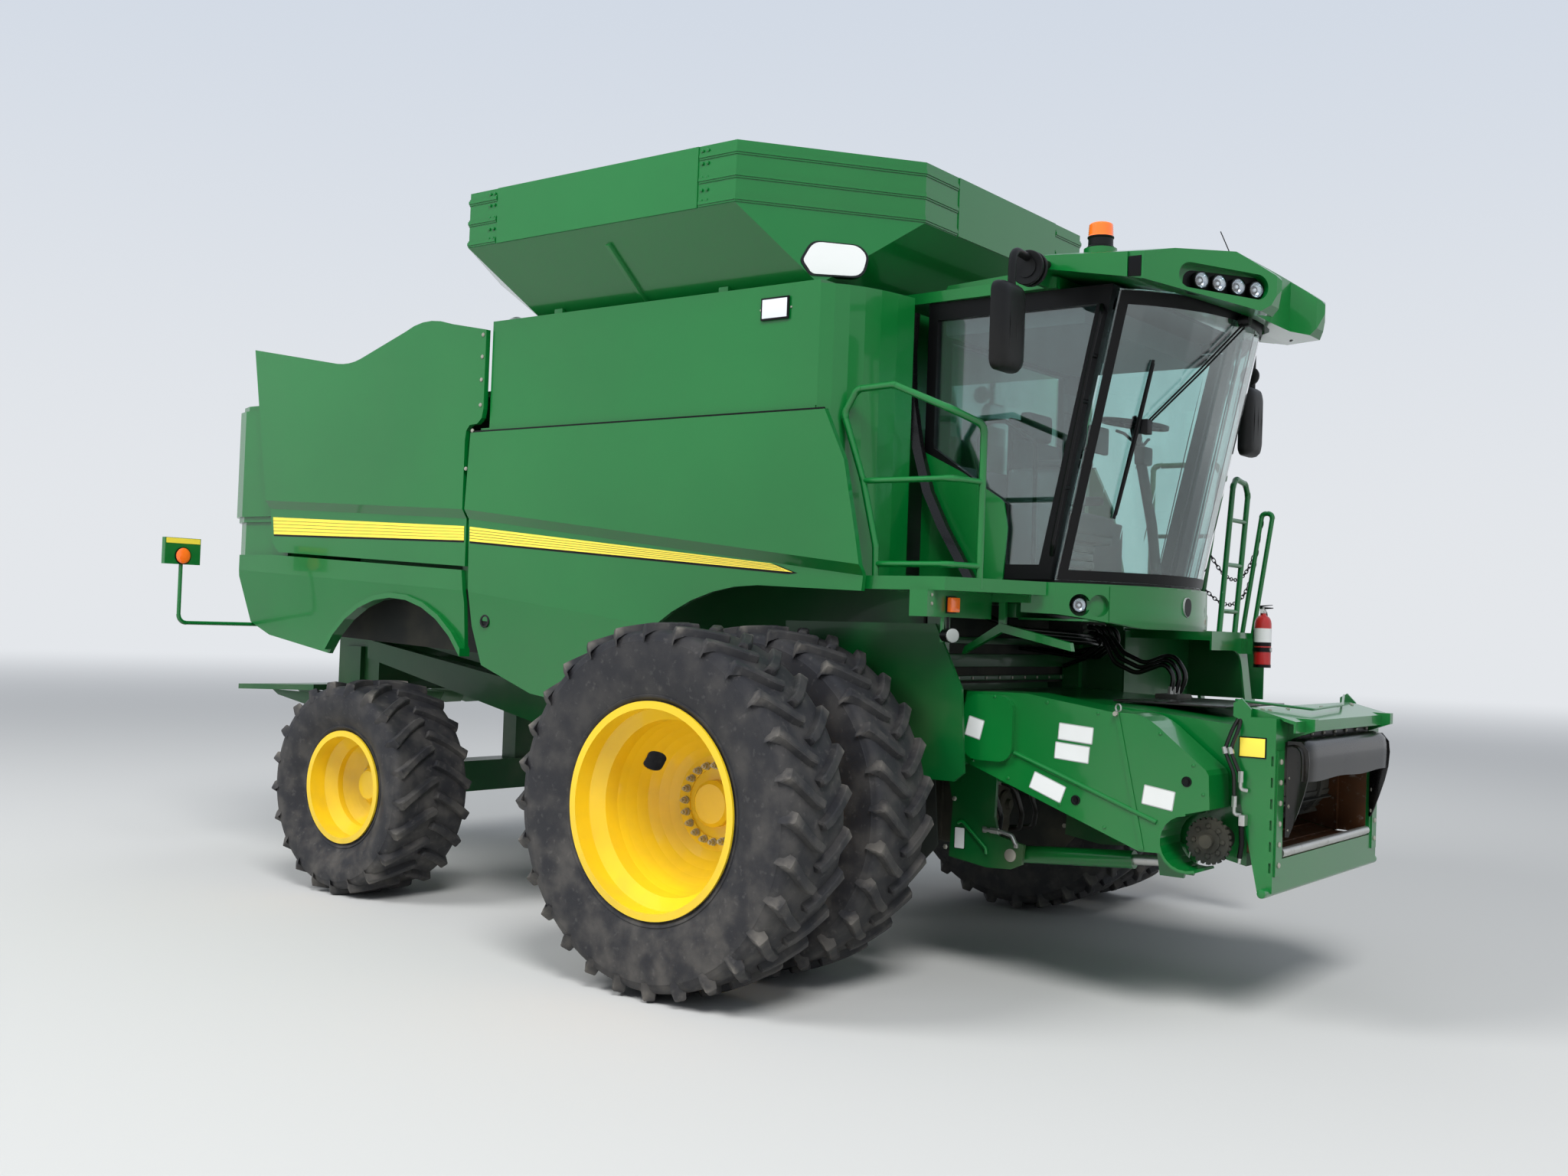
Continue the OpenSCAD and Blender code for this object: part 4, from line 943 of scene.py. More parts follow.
@dataclass
class Studio:
    """Camera, light, floor and backdrop."""

    lens_px: float = 2033.1
    frame_px: int = 2048
    sensor: float = 36.0
    place: Point = (7.03, -8.41, 1.947)
    yaw: float = 37.457
    pitch: float = 1.267
    roll: float = 2.056
    floor_half: float = 160.0
    aim: Point = (0.0, 0.0, 1.6)

    def camera(self) -> None:
        """Sets the camera where the photograph was taken from."""
        yaw, pitch, roll = (math.radians(angle) for angle in (self.yaw, self.pitch, self.roll))
        forward = Vector((-math.sin(yaw) * math.cos(pitch), math.cos(yaw) * math.cos(pitch), math.sin(pitch)))
        level_right = Vector((math.cos(yaw), math.sin(yaw), 0))
        level_up = level_right.cross(forward)
        right = level_right * math.cos(roll) + level_up * math.sin(roll)
        up = level_up * math.cos(roll) - level_right * math.sin(roll)
        data = bpy.data.cameras.new("view")
        data.sensor_width = self.sensor
        data.lens = self.sensor * self.lens_px / self.frame_px
        data.clip_end = 400.0
        camera = new_object("view", data)
        camera.matrix_world = Matrix((
            (right.x, up.x, -forward.x, self.place[0]),
            (right.y, up.y, -forward.y, self.place[1]),
            (right.z, up.z, -forward.z, self.place[2]),
            (0, 0, 0, 1),
        ))
        bpy.context.scene.camera = camera

    def floor(self) -> None:
        """Lays the pale floor, which fades into the sky's colour far away."""
        data = bpy.data.meshes.new("studio_floor")
        half = self.floor_half
        data.from_pydata([(-half, -half, 0), (half, -half, 0), (half, half, 0), (-half, half, 0)], [], [(0, 1, 2, 3)])
        floor = new_object("studio_floor", data)
        material = new_material("studio floor")
        tree = material.node_tree
        shader = fill(tree.nodes["Principled BSDF"], {"Base Color": linear(196, 196, 194), "Roughness": 0.9})
        where = add_node(tree, "ShaderNodeTexCoord").outputs["Object"]
        reach = add_node(tree, "ShaderNodeVectorMath", {0: where}, operation="LENGTH").outputs["Value"]
        glow = add_node(tree, "ShaderNodeEmission", {"Color": HORIZON})
        self._blend(tree, ramp(tree, reach, 9.0, 55.0), shader, glow, "Material Output")
        data.materials.append(material)

    @staticmethod
    def _blend(tree: Tree, factor: Socket, first: bpy.types.Node, second: bpy.types.Node, out: str) -> None:
        """Mixes two shaders into the tree's output."""
        blend = add_node(tree, "ShaderNodeMixShader", {0: factor, 1: first.outputs[0], 2: second.outputs[0]})
        fill(tree.nodes[out], {"Surface": blend.outputs[0]})

    def light(self) -> None:
        """Lights the machine like an overcast day, from a soft sky and large lamps."""
        world = bpy.data.worlds.new("sky")
        bpy.context.scene.world = world
        world.use_nodes = True
        tree = world.node_tree
        light = fill(tree.nodes["Background"], {"Color": linear(226, 234, 246), "Strength": 0.5})
        shade = mix(tree, ramp(tree, height_of(tree, "Generated"), 0.0, 0.5), HORIZON, linear(206, 215, 228))
        seen = add_node(tree, "ShaderNodeBackground", {"Color": shade})
        path = add_node(tree, "ShaderNodeLightPath").outputs
        direct = math_node(tree, "MAXIMUM", path["Is Camera Ray"], path["Is Glossy Ray"])
        direct = math_node(tree, "MAXIMUM", direct, path["Is Transmission Ray"])
        self._blend(tree, direct, light, seen, "World Output")
        for name, place, size, power in (
            ("key", (13.0, -12.0, 19.0), 9.0, 4600.0),
            ("side", (-8.0, -15.0, 16.0), 10.0, 3000.0),
            ("back", (-6.0, 14.0, 12.0), 10.0, 500.0),
        ):
            data = bpy.data.lights.new(name, "AREA")
            data.shape = "DISK"
            data.size = size
            data.energy = power
            lamp = new_object(name, data)
            lamp.visible_glossy = False
            heading = Vector(self.aim) - Vector(place)
            lamp.matrix_world = Matrix.Translation(place) @ heading.to_track_quat("-Z", "Y").to_matrix().to_4x4()
        bpy.context.scene.view_settings.view_transform = "Standard"


NODES_BY_FINISH = {
    "frame green": (
        "main_frame", "separator_body", "front_axle", "rear_axle", "knuckle_right", "knuckle_left", "tie_rod",
        "wheel_shields", "panel_posts", "tail_chopper",
    ),
    "cast iron": ("engine_block", "feeder_conveyor"),
    "dark trim": ("cab_shell", "cab_door"),
    "window tint": ("cab_glass", "door_glass"),
    "seat cloth": ("operator_seat",),
    "black plastic": ("steering_column", "cab_mirrors"),
    "red paint": ("fire_extinguisher",),
    "amber lens": ("roof_beacon",),
    "lamp white": ("work_lamps",),
    "bright steel": ("exhaust_stack", "lift_rods"),
    "rim yellow": ("dual_rims_right", "dual_rims_left", "rear_rim_right", "rear_rim_left"),
    "tyre rubber": ("dual_tyres_right", "dual_tyres_left", "rear_tyre_right", "rear_tyre_left"),
    "black rubber": ("feeder_hood",),
}


def dress_nodes(nodes: dict[str, Object]) -> None:
    """Gives every CAD node its finish, body green where none is named.

    Args:
        nodes: CAD nodes by name.
    """
    finishes = {name: finish for finish, names in NODES_BY_FINISH.items() for name in names}
    for name, item in nodes.items():
        item.data.materials.clear()
        item.data.materials.append(FINISHES.get(finishes.get(name, "body green")))


@dataclass
class Tyre:
    """A lugged tyre on one wheel."""

    radius: float
    rim: float
    width: float
    rim_width: float
    lug_height: float
    count: int
    slant: float
    lead: float
    lug_width: float
    steps: int = 112

    def carcass(self, piece: Piece, mid: float, x: float, sign: float) -> None:
        """Adds the turned carcass with its sidewall rings.

        Args:
            piece: piece to add to.
            mid: distance of the tyre's middle from the centre plane.
            x: wheel's place along the machine.
            sign: side of the machine.
        """
        half = self.width / 2
        bead = self.rim_width / 2 - 0.0224
        tread = self.radius - self.lug_height
        side = (self.radius + self.rim) / 2
        outer = [(self.rim - 0.0247, bead), (self.rim + 0.002, bead), (self.rim + 0.012, bead + 0.008)]
        outer += [(self.rim + 0.022, bead + 0.018), (self.rim + 0.03, bead + 0.02), (self.rim + 0.034, bead + 0.015)]
        outer += curve_points(
            (self.rim + 0.042, bead + 0.018), (side - 0.03, half + 0.012), (tread - 0.055, half - 0.002), 9
        )
        outer += [(tread - 0.05, half - 0.006), (tread - 0.03, half - 0.01)]
        outer += curve_points((tread - 0.02, half - 0.016), (tread - 0.001, half - 0.03), (tread, half - 0.075), 4)
        profile = [(r, -a) for r, a in outer] + [(tread + 0.003, 0.0)] + [(r, a) for r, a in reversed(outer)]
        inner = [
            (self.rim - 0.0247, bead - 0.04), (self.rim + 0.02, bead - 0.06), (side, half - 0.06),
            (tread - 0.04, half - 0.1),
        ]
        profile += inner + [(r, -a) for r, a in reversed(inner)]
        piece.turned(profile, (x, sign * mid, self.radius), Axis.Y, steps=self.steps)

    def lug_sections(self, side: float) -> list[list[tuple[float, float, float, float]]]:
        """Lists a lug's sections from its nose at the middle to its foot on the shoulder.

        Args:
            side: +1 or -1, the half of the tread.

        Returns:
            Sections of (radius, run round the tyre, distance across, dust) points.
        """
        half = self.width / 2
        tread = self.radius - self.lug_height
        table = (
            (-0.03, 0.0, 0.55, 0.012, 0.2), (0.0, 0.02, 0.85, 0.001, 0.2), (0.2, 0.15, 0.95, 0.0, 0.05),
            (0.5, 0.46, 0.92, 0.001, 0.05), (0.8, 0.83, 1.0, 0.004, 0.3), (0.935, 1.0, 1.2, 0.008, 1.0),
            (0.955, 1.04, 1.2, 0.03, 0.8), (0.968, 1.06, 1.15, 0.082, 0.25),
        )
        out = []
        for across, run, wide, drop, dust in table:
            a = across * half
            s = self.lead * run * self.slant
            heading = Vector((self.lead * self.slant, half)).normalized()
            normal = Vector((heading.y, -heading.x))
            top = self.lug_width / 2 * wide
            foot = top + 0.012
            crown = self.radius - drop - 0.004 * across * across
            base = tread - 0.006 - max(0.0, drop - 0.02) * 0.6 - (0.02 if across > 0.9 else 0.0)
            section = []
            for reach, height, mark in (
                (-foot, base, 0.0), (-top, crown - 0.006, dust), (-top + 0.007, crown, dust * 0.8),
                (top - 0.007, crown, dust * 0.3), (top, crown - 0.006, dust * 0.4), (foot, base, 0.0),
            ):
                section.append((height, s + normal.x * reach, side * (a + normal.y * reach), mark))
            out.append(section)
        return out

    def lug(self, name: str, body: str, mid: float, x: float, sign: float) -> Piece:
        """Makes one pair of lugs, which the ring tree then repeats.

        Args:
            name: name of the piece.
            body: body that the wheel is on.
            mid: distance of the tyre's middle from the centre plane.
            x: wheel's place along the machine.
            sign: side of the machine.

        Returns:
            The pair of lugs.
        """
        piece = Piece(name, body, "tyre_rubber", "tyre rubber")
        layer = piece.mesh.verts.layers.float.new("dusty")
        pitch = math.tau / self.count
        for side, start in ((1.0, 0.0), (-1.0, pitch / 2)):
            rings = []
            for section in self.lug_sections(side):
                ring = []
                for radius, run, across, mark in section:
                    angle = start + run / self.radius
                    spot = (x + radius * math.cos(angle), sign * mid + across, self.radius + radius * math.sin(angle))
                    vertex = piece.mesh.verts.new(spot)
                    vertex[layer] = mark
                    ring.append(vertex)
                rings.append(ring)
            for face in bridge(piece.mesh, rings):
                face.smooth = True
        bmesh.ops.recalc_face_normals(piece.mesh, faces=piece.mesh.faces)
        return piece

    def make(self, name: str, body: str, mids: Sequence[float], x: float, sign: float, node: str) -> None:
        """Makes the tyres of one wheel or pair of wheels.

        Args:
            name: name of the piece.
            body: body that the wheel is on.
            mids: distances of the tyres' middles from the centre plane.
            x: wheel's place along the machine.
            sign: side of the machine.
            node: CAD node that the tyres replace.
        """
        shell = Piece(name + "_shell", body, "tyre_rubber", "tyre rubber")
        for mid in mids:
            self.carcass(shell, mid, x, sign)
        items = [shell.as_object()]
        for mid in mids:
            lug = self.lug(name + "_lugs", body, mid, x, sign)
            items.append(Repeat.ring_object(lug, self.count, (x, 0, self.radius), (0, 1, 0)))
        whole = join(items, name)
        whole.data.set_sharp_from_angle(angle=SMOOTH_ANGLE)
        settle(whole, body, "tyre_rubber", node)


@dataclass
class Wheels:
    """All tyres, with the studs and fittings of their rims."""

    wheelbase: float = 3.43
    front: Tyre = field(default_factory=lambda: Tyre(0.965, 0.558, 0.48, 0.44, 0.042, 28, 0.17, 1.0, 0.052))
    rear: Tyre = field(default_factory=lambda: Tyre(0.725, 0.381, 0.6, 0.48, 0.042, 21, 0.17, -1.0, 0.05))
    front_mids: tuple[float, float] = (1.524, 2.286)
    rear_mid: float = 1.57

    def make(self) -> None:
        """Makes the tyres and fittings of both sides."""
        for side, sign in SIDES:
            self.front.make(f"front_tyres_{side}", f"duals_{side}", self.front_mids, 0.0, sign, f"dual_tyres_{side}")
            self.rear.make(
                f"rear_lugged_tyre_{side}", f"rear_wheel_{side}", (self.rear_mid,), -self.wheelbase, sign,
                f"rear_tyre_{side}"
            )
            self.studs(side, sign)

    def studs(self, side: str, sign: float) -> None:
        """Adds the rings of wheel studs.

        Args:
            side: name of the side.
            sign: side of the machine.
        """
        front_parts = ((-0.004, 0.012, 0.021, 16), (0.01, 0.034, 0.0165, 6), (0.03, 0.048, 0.009, 8))
        rear_parts = ((-0.004, 0.024, 0.016, 6), (0.02, 0.034, 0.008, 8))
        for name, body, count, x, circle, face, radius, parts in (
            ("front", "duals", 20, 0.0, 0.205, self.front_mids[1] - 0.318, self.front.radius, front_parts),
            ("rear", "rear_wheel", 8, -self.wheelbase, 0.13, self.rear_mid - 0.06, self.rear.radius, rear_parts),
        ):
            piece = Piece(f"{name}_studs_{side}", f"{body}_{side}", "bright_steel", "stud zinc")
            for foot, top, size, sides in parts:
                start, end = ((x + circle, sign * (face + reach), radius) for reach in (foot, top))
                piece.rod(start, end, size, sides=sides)
            Repeat.ring(piece, count, (x, 0, radius), (0, 1, 0))


def facing(centre: Point, heading: Point) -> Matrix:
    """Gives the matrix that lays a form built along X at the origin onto a heading."""
    return Matrix.Translation(centre) @ Vector(heading).to_track_quat("X", "Z").to_matrix().to_4x4()


def both_ways(sign: float, near: float, far: float) -> Flat:
    """Gives the low and high y of a stretch that runs from near to far on one side."""
    return (min(sign * near, sign * far), max(sign * near, sign * far))


def head(radius: float, side: float, top: float) -> list[Flat]:
    """Gives the section of a plain bolt head from its radius and the heights of its side and middle."""
    return [(0, 0), (radius, 0), (radius, side), (0, top)]


def rounded(left: float, right: float, low: float, high: float, radius: float) -> list[Flat]:
    """Lists the outline of a rounded rectangle.

    Args:
        left, right: its sides.
        low, high: its foot and its top.
        radius: radius of its corners.

    Returns:
        The outline's points, in order.
    """
    out = []
    for centre, start in (
        ((right - radius, low + radius), -90), ((right - radius, high - radius), 0),
        ((left + radius, high - radius), 90), ((left + radius, low + radius), 180),
    ):
        out += arc_points(centre, radius, start, start + 90, 5)
    return out


@dataclass
class SidePanels:
    """Stripes, screws and catches of the side panels."""

    face: float = 1.6
    upper_face: float = 1.64
    proud: float = 0.003
    border: float = 0.013
    line_count: int = 4
    front_top: tuple[Flat, Flat] = ((-2.472, 2.498), (0.03, 2.272))
    front_low: tuple[Flat, Flat] = ((-2.468, 2.391), (0.15, 2.214))
    front_tip: Flat = (0.185, 2.224)
    rear_top: tuple[Flat, Flat] = ((-4.64, 2.588), (-2.53, 2.503))
    rear_low: tuple[Flat, Flat] = ((-4.622, 2.449), (-2.527, 2.396))
    screws: tuple[Flat, ...] = (
        (-2.372, 3.743), (-2.372, 3.6), (-2.372, 3.45), (-2.372, 3.286), (-2.44, 3.122), (-2.49, 2.875),
    )

    def make(self) -> None:
        """Makes the trim of all four panels."""
        for side, sign in SIDES:
            front = Piece(f"front_stripe_{side}", f"panel_{side}_front", "yellow_paint", "stripe yellow")
            self.stripe(front, sign, self.front_top, self.front_low, self.front_tip)
            self.catch(front, sign)
            front.done()
            rear = Piece(f"rear_stripe_{side}", f"panel_{side}_rear", "yellow_paint", "stripe yellow")
            self.stripe(rear, sign, self.rear_top, self.rear_low, None)
            if sign == RIGHT:
                for x, z in self.screws:
                    rear.boss([
                        (0.0, -0.002), (0.013, -0.002), (0.013, 0.004), (0.009, 0.008), (0.0, 0.009),
                    ], facing((x, -self.upper_face, z), (0, sign, 0)), "stud zinc", 14)
            rear.done()

    def stripe(
        self, piece: Piece, sign: float, top: Sequence[Flat], low: Sequence[Flat], tip: Optional[Flat]
    ) -> None:
        """Adds one stretch of the stripe: a band, its dark lower border and the fine lines in it.

        Args:
            piece: piece to add to.
            sign: side of the machine.
            top, low: ends of the band's upper and lower edges, border included.
            tip: point that the band ends in, if it does.
        """
        foot, crest = self.face - 0.002, self.face + self.proud
        raised = [(x, z + self.border) for x, z in low]
        ends = [tip] if tip else []
        piece.side_prism([*top, *ends, raised[1], raised[0]], sign, foot, crest)
        nose = [low[1]]
        if tip:
            nose = [
                (low[1][0] + 0.01, low[1][1]), (tip[0] + 0.03, tip[1] - 0.004), (top[1][0] + 0.02, top[1][1] - 0.001)
            ]
        piece.side_prism([low[0], *nose, raised[1], raised[0]], sign, foot, crest - 0.0008, "dark trim")
        for index in range(1, self.line_count + 1):
            share = index / (self.line_count + 1)
            line = []
            for end in (0, 1):
                x = top[end][0] + (raised[end][0] - top[end][0]) * share
                line.append((x, top[end][1] + (raised[end][1] - top[end][1]) * share))
            (x0, z0), (x1, z1) = line
            outline = [(x0, z0 - 0.0018), (x1, z1 - 0.0012), (x1, z1 + 0.0012), (x0, z0 + 0.0018)]
            piece.side_prism(outline, sign, self.face, crest + 0.0006, "stripe dark")

    def catch(self, piece: Piece, sign: float) -> None:
        """Adds the round catch low on the front panel's rear edge.

        Args:
            piece: piece to add to.
            sign: side of the machine.
        """
        turn = facing((-2.31, sign * 1.588, 1.887), (0, sign, 0.09))
        piece.boss([
            (0.028, -0.006), (0.044, -0.006), (0.044, 0.002), (0.04, 0.006), (0.032, 0.006), (0.028, 0.0),
        ], turn, "black rubber", 28)
        piece.boss([(0.0, -0.006), (0.03, -0.006), (0.03, -0.003), (0.0, -0.003)], turn, "dark trim", 28)


@dataclass
class TankTop:
    """Fittings of the grain tank's extension: window, ribs, tabs and bolts, and a near-black strip that paints the
    shadow in the gap below the tank panels.
    """

    window: tuple[Point, ...] = (
        (0.149, -1.567, 3.958), (0.174, -1.508, 4.07), (0.33, -1.299, 4.071),
        (0.368, -1.26, 4.018), (0.361, -1.296, 3.895), (0.188, -1.531, 3.884),
    )
    skirt_low: Flat = (1.5, 3.834)
    skirt_high: Flat = (1.853, 4.251)
    rib_x: Flat = (-1.142, -1.057)
    seams: Flat = (-2.04, -0.389)
    rim_face: float = 1.859

    def make(self) -> None:
        """Makes the fittings of both sides."""
        piece = Piece("tank_fittings", "chassis", "green_paint", "body green")
        # Near-black strip along the gap between the side panel and the tank panels: painted shadow of the gap.
        piece.block((-2.455, -1.6425, 3.1115), (0.388, -1.63, 3.1195), "dark trim", 0.001)
        self.rib(piece)
        for x in (-1.779, -0.429):
            piece.block((x - 0.035, -1.552, 3.826), (x + 0.035, -1.512, 3.872), bevel=0.003)
        for x in self.seams:
            for z in (4.29, 4.35, 4.42, 4.5, 4.57):
                for step in (-0.02, 0.02):
                    piece.boss(
                        [(0.0, -0.003), (0.01, -0.003), (0.01, 0.003), (0.006, 0.006), (0.0, 0.0065)],
                        facing((x + step + math.copysign(0.05, x + 1.2), -self.rim_face, z), (0, -1, 0)),
                        "body green", 10
                    )
        piece.mirrored()
        piece.done()
        self.pane()

    def rib(self, piece: Piece) -> None:
        """Adds the folded rib down the outside of the skirt.

        Args:
            piece: piece to add to.
        """
        rise, reach = self.skirt_high[1] - self.skirt_low[1], self.skirt_low[0] - self.skirt_high[0]
        out = Vector((0, -rise, reach)).normalized()
        along, crest = Vector((0.022, 0, 0)), out * 0.036
        sections = []
        for point in ((self.rib_x[0], -1.777, 4.161), (self.rib_x[1], -1.516, 3.849)):
            base = Vector(point) - out * 0.012
            sections.append([base - along, base - along * 0.6 + crest, base + along * 0.6 + crest, base + along])
        piece.loft(sections, bevel=0.002)

    def pane(self) -> None:
        """Adds the rounded pale pane in the front corner sheet, with its rubber frame."""
        piece = Piece("tank_pane", "chassis", "lamp_lens", "label white")
        corners = [Vector(point) for point in self.window]
        middle = sum(corners, Vector()) / len(corners)
        across = (corners[3] - corners[0]).normalized()
        normal = across.cross(corners[1] - corners[4]).normalized()
        if normal.x < 0:
            normal = -normal
        flat = [point - normal * (point - middle).dot(normal) for point in corners]
        for grow, low, high, finish in ((1.0, -0.03, 0.01, "label white"), (1.09, -0.03, 0.006, "black rubber")):
            ring = [middle + (point - middle) * grow for point in flat]
            loop = rounded_path([ring[-1].lerp(ring[0], 0.5), *ring, ring[-1].lerp(ring[0], 0.5)], 0.09)[:-1]
            piece.loft([[point + normal * depth for point in loop] for depth in (low, high)], finish)
        piece.done()


@dataclass
class Lamps:
    """Work lamps, marker lamps and the beacon."""

    pod: Flat = (2.214, -0.646)
    pod_angle: float = -33.75
    pod_steps: tuple[float, ...] = (-0.126, -0.018, 0.098, 0.21)
    pod_height: float = 3.798
    radius: float = 0.046
    beacon: Flat = (1.527, -0.7)
    beacon_foot: float = 4.0403

    def make(self) -> None:
        """Makes all lamps."""
        self.pods()
        self.turning_light()
        self.markers()

    def lamp(self, piece: Piece, centre: Point, heading: Point, radius: float, depth: float) -> None:
        """Adds a round lamp: housing, bright bowl, bulb shield and front glass.

        Args:
            piece: piece to add to.
            centre: middle of the lamp's back.
            heading: where it shines.
            radius: outer radius.
            depth: length from back to rim.
        """
        turn = facing(centre, heading)
        piece.boss([
            (0.0, 0.0), (radius * 0.8, 0.0), (radius, depth * 0.3), (radius, depth), (radius * 0.9, depth + 0.003),
            (radius * 0.88, depth - 0.004), (radius * 0.86, depth * 0.5), (0.0, depth * 0.25),
        ], turn, "dark trim", 32)
        bowl = [
            (0.0, depth * 0.28), (radius * 0.45, depth * 0.36), (radius * 0.75, depth * 0.6),
            (radius * 0.87, depth * 0.9)
        ]
        piece.boss(bowl + [(r, along - 0.003) for r, along in reversed(bowl)][:-1], turn, "lamp chrome", 32)
        piece.boss([
            (0.0, depth * 0.3), (radius * 0.2, depth * 0.32), (radius * 0.2, depth * 0.62), (0.0, depth * 0.7),
        ], turn, "lamp white", 20)
        glass = curve_points((radius * 0.89, depth * 0.93), (radius * 0.5, depth + 0.009), (0.0, depth + 0.009), 6)
        piece.boss(glass + [(0.0, depth * 0.86), (radius * 0.87, depth * 0.82)], turn, "lamp glass", 32)

    def pods(self) -> None:
        """Adds the lamps in the roof's front corners, the fascia lamps and the hanging lamp."""
        piece = Piece("lamp_set", "chassis", "lamp_lens", "lamp white")
        angle = math.radians(self.pod_angle)
        heading = (math.cos(angle), math.sin(angle), 0.0)
        for sign in (LEFT, RIGHT):
            for step in self.pod_steps:
                x = self.pod[0] - 0.0597 * heading[0] - step * heading[1]
                y = self.pod[1] - 0.0597 * heading[1] + step * heading[0]
                z = self.pod_height - step * 0.05
                self.lamp(piece, (x, y * sign, z), (heading[0], heading[1] * sign, -0.06), self.radius, 0.042)
            back = facing(
                (self.pod[0] - 0.0625 * heading[0], (self.pod[1] - 0.0625 * heading[1]) * sign, self.pod_height),
                (heading[0], heading[1] * sign, 0.0)
            )
            low, high = both_ways(sign, -0.215, 0.285)
            piece.prism(rounded(low, high, -0.068, 0.058, 0.055), Plane.YZ, 0.0, 0.004, "dark trim", turn=back)
            turn = math.radians(-42.6)
            reach = 1.141 - 0.0327
            self.lamp(
                piece, (0.669 + reach * math.cos(turn), sign * reach * math.sin(turn), 2.098),
                (math.cos(turn), sign * math.sin(turn), 0.0), 0.042, 0.024,
            )
        self.oval(piece)
        self.square(piece)
        piece.done("work_lamps")

    def oval(self, piece: Piece) -> None:
        """Adds the oval lamp that hangs below the right platform.

        Args:
            piece: piece to add to.
        """
        outline = [(-1.44 + 0.065 * math.cos(angle), 1.91 + 0.04 * math.sin(angle)) for angle in turns(28)]
        for finish, steps in (
            ("dark trim", ((1.0603, 0.45), (1.075, 0.85), (1.118, 1.0))),
            ("label grey", ((1.112, 0.93), (1.124, 0.9), (1.127, 0.7))),
        ):
            piece.loft([
                [(x, -1.44 + (y + 1.44) * share, 1.91 + (z - 1.91) * share) for y, z in outline] for x, share in steps
            ], finish)
        piece.rod((1.09, -1.44, 1.945), (1.09, -1.44, 2.006), 0.008, "dark trim", 10)

    @staticmethod
    def square(piece: Piece) -> None:
        """Adds the oblong lamp on the tank's side.

        Args:
            piece: piece to add to.
        """
        piece.block((-0.094, -1.618, 3.631), (0.104, -1.609, 3.759), "dark trim", 0.003)
        piece.block((-0.082, -1.621, 3.642), (0.092, -1.6175, 3.748), "lamp white", 0.003)
        for x in (-0.102, 0.112):
            piece.boss([
                (0, 0), (0.007, 0), (0.006, 0.004), (0, 0.005),
            ], facing((x, -1.604, 3.695), (0, -1, 0)), "stud zinc", 10)

    def turning_light(self) -> None:
        """Adds the beacon on the roof: a ribbed dark foot and a ribbed amber dome."""
        piece = Piece("beacon_light", "chassis", "orange_lens", "amber lens")
        x, y = self.beacon
        z = self.beacon_foot
        foot = [
            (0.0, 0.0), (0.074, 0.0), (0.075, 0.01), (0.068, 0.016), (0.067, 0.055), (0.072, 0.06), (0.072, 0.066),
            (0.0, 0.066)
        ]
        piece.turned(foot, (x, y, z), Axis.Z, "black plastic", 40)
        dome = [(0.0, 0.06), (0.07, 0.06), (0.07, 0.068)]
        for level in range(5):
            height = 0.07 + level * 0.012
            dome += [(0.0685 - level * 0.0006, height), (0.0665 - level * 0.0006, height + 0.006)]
        dome += curve_points((0.065, 0.13), (0.062, 0.1485), (0.0, 0.1485), 8)
        piece.turned(dome, (x, y, z), Axis.Z, steps=40)
        piece.done("roof_beacon")

    def markers(self) -> None:
        """Adds the amber marker lamps under the platform and on the rear arms."""
        piece = Piece("marker_lamps", "chassis", "orange_lens", "amber lens")
        piece.block((1.058, -1.418, 2.026), (1.066, -1.318, 2.116), "dark trim", 0.003)
        piece.block((1.064, -1.412, 2.032), (1.092, -1.324, 2.11), "amber lens", 0.007)
        for sign in (LEFT, RIGHT):
            for heading, x in ((1.0, -4.915), (-1.0, -4.955)):
                turn = facing((x, sign * 2.15, 2.272), (heading, 0, 0))
                piece.boss([(0, -0.004), (0.062, -0.004), (0.062, 0.008), (0, 0.008)], turn, "dark trim", 32)
                piece.boss(
                    [(0, 0.004)] + [(0.056, 0.004)] + curve_points((0.056, 0.01), (0.044, 0.026), (0.0, 0.027), 6),
                    turn, "amber lens", 32
                )
            for x in (-4.913, -4.957):
                low, high = both_ways(sign, 2.018, 2.282)
                piece.prism([
                    (low, 2.36), (high, 2.36), (high, 2.397), (low, 2.397),
                ], Plane.YZ, x - 0.002, x + 0.002, "stripe yellow")
        piece.done()


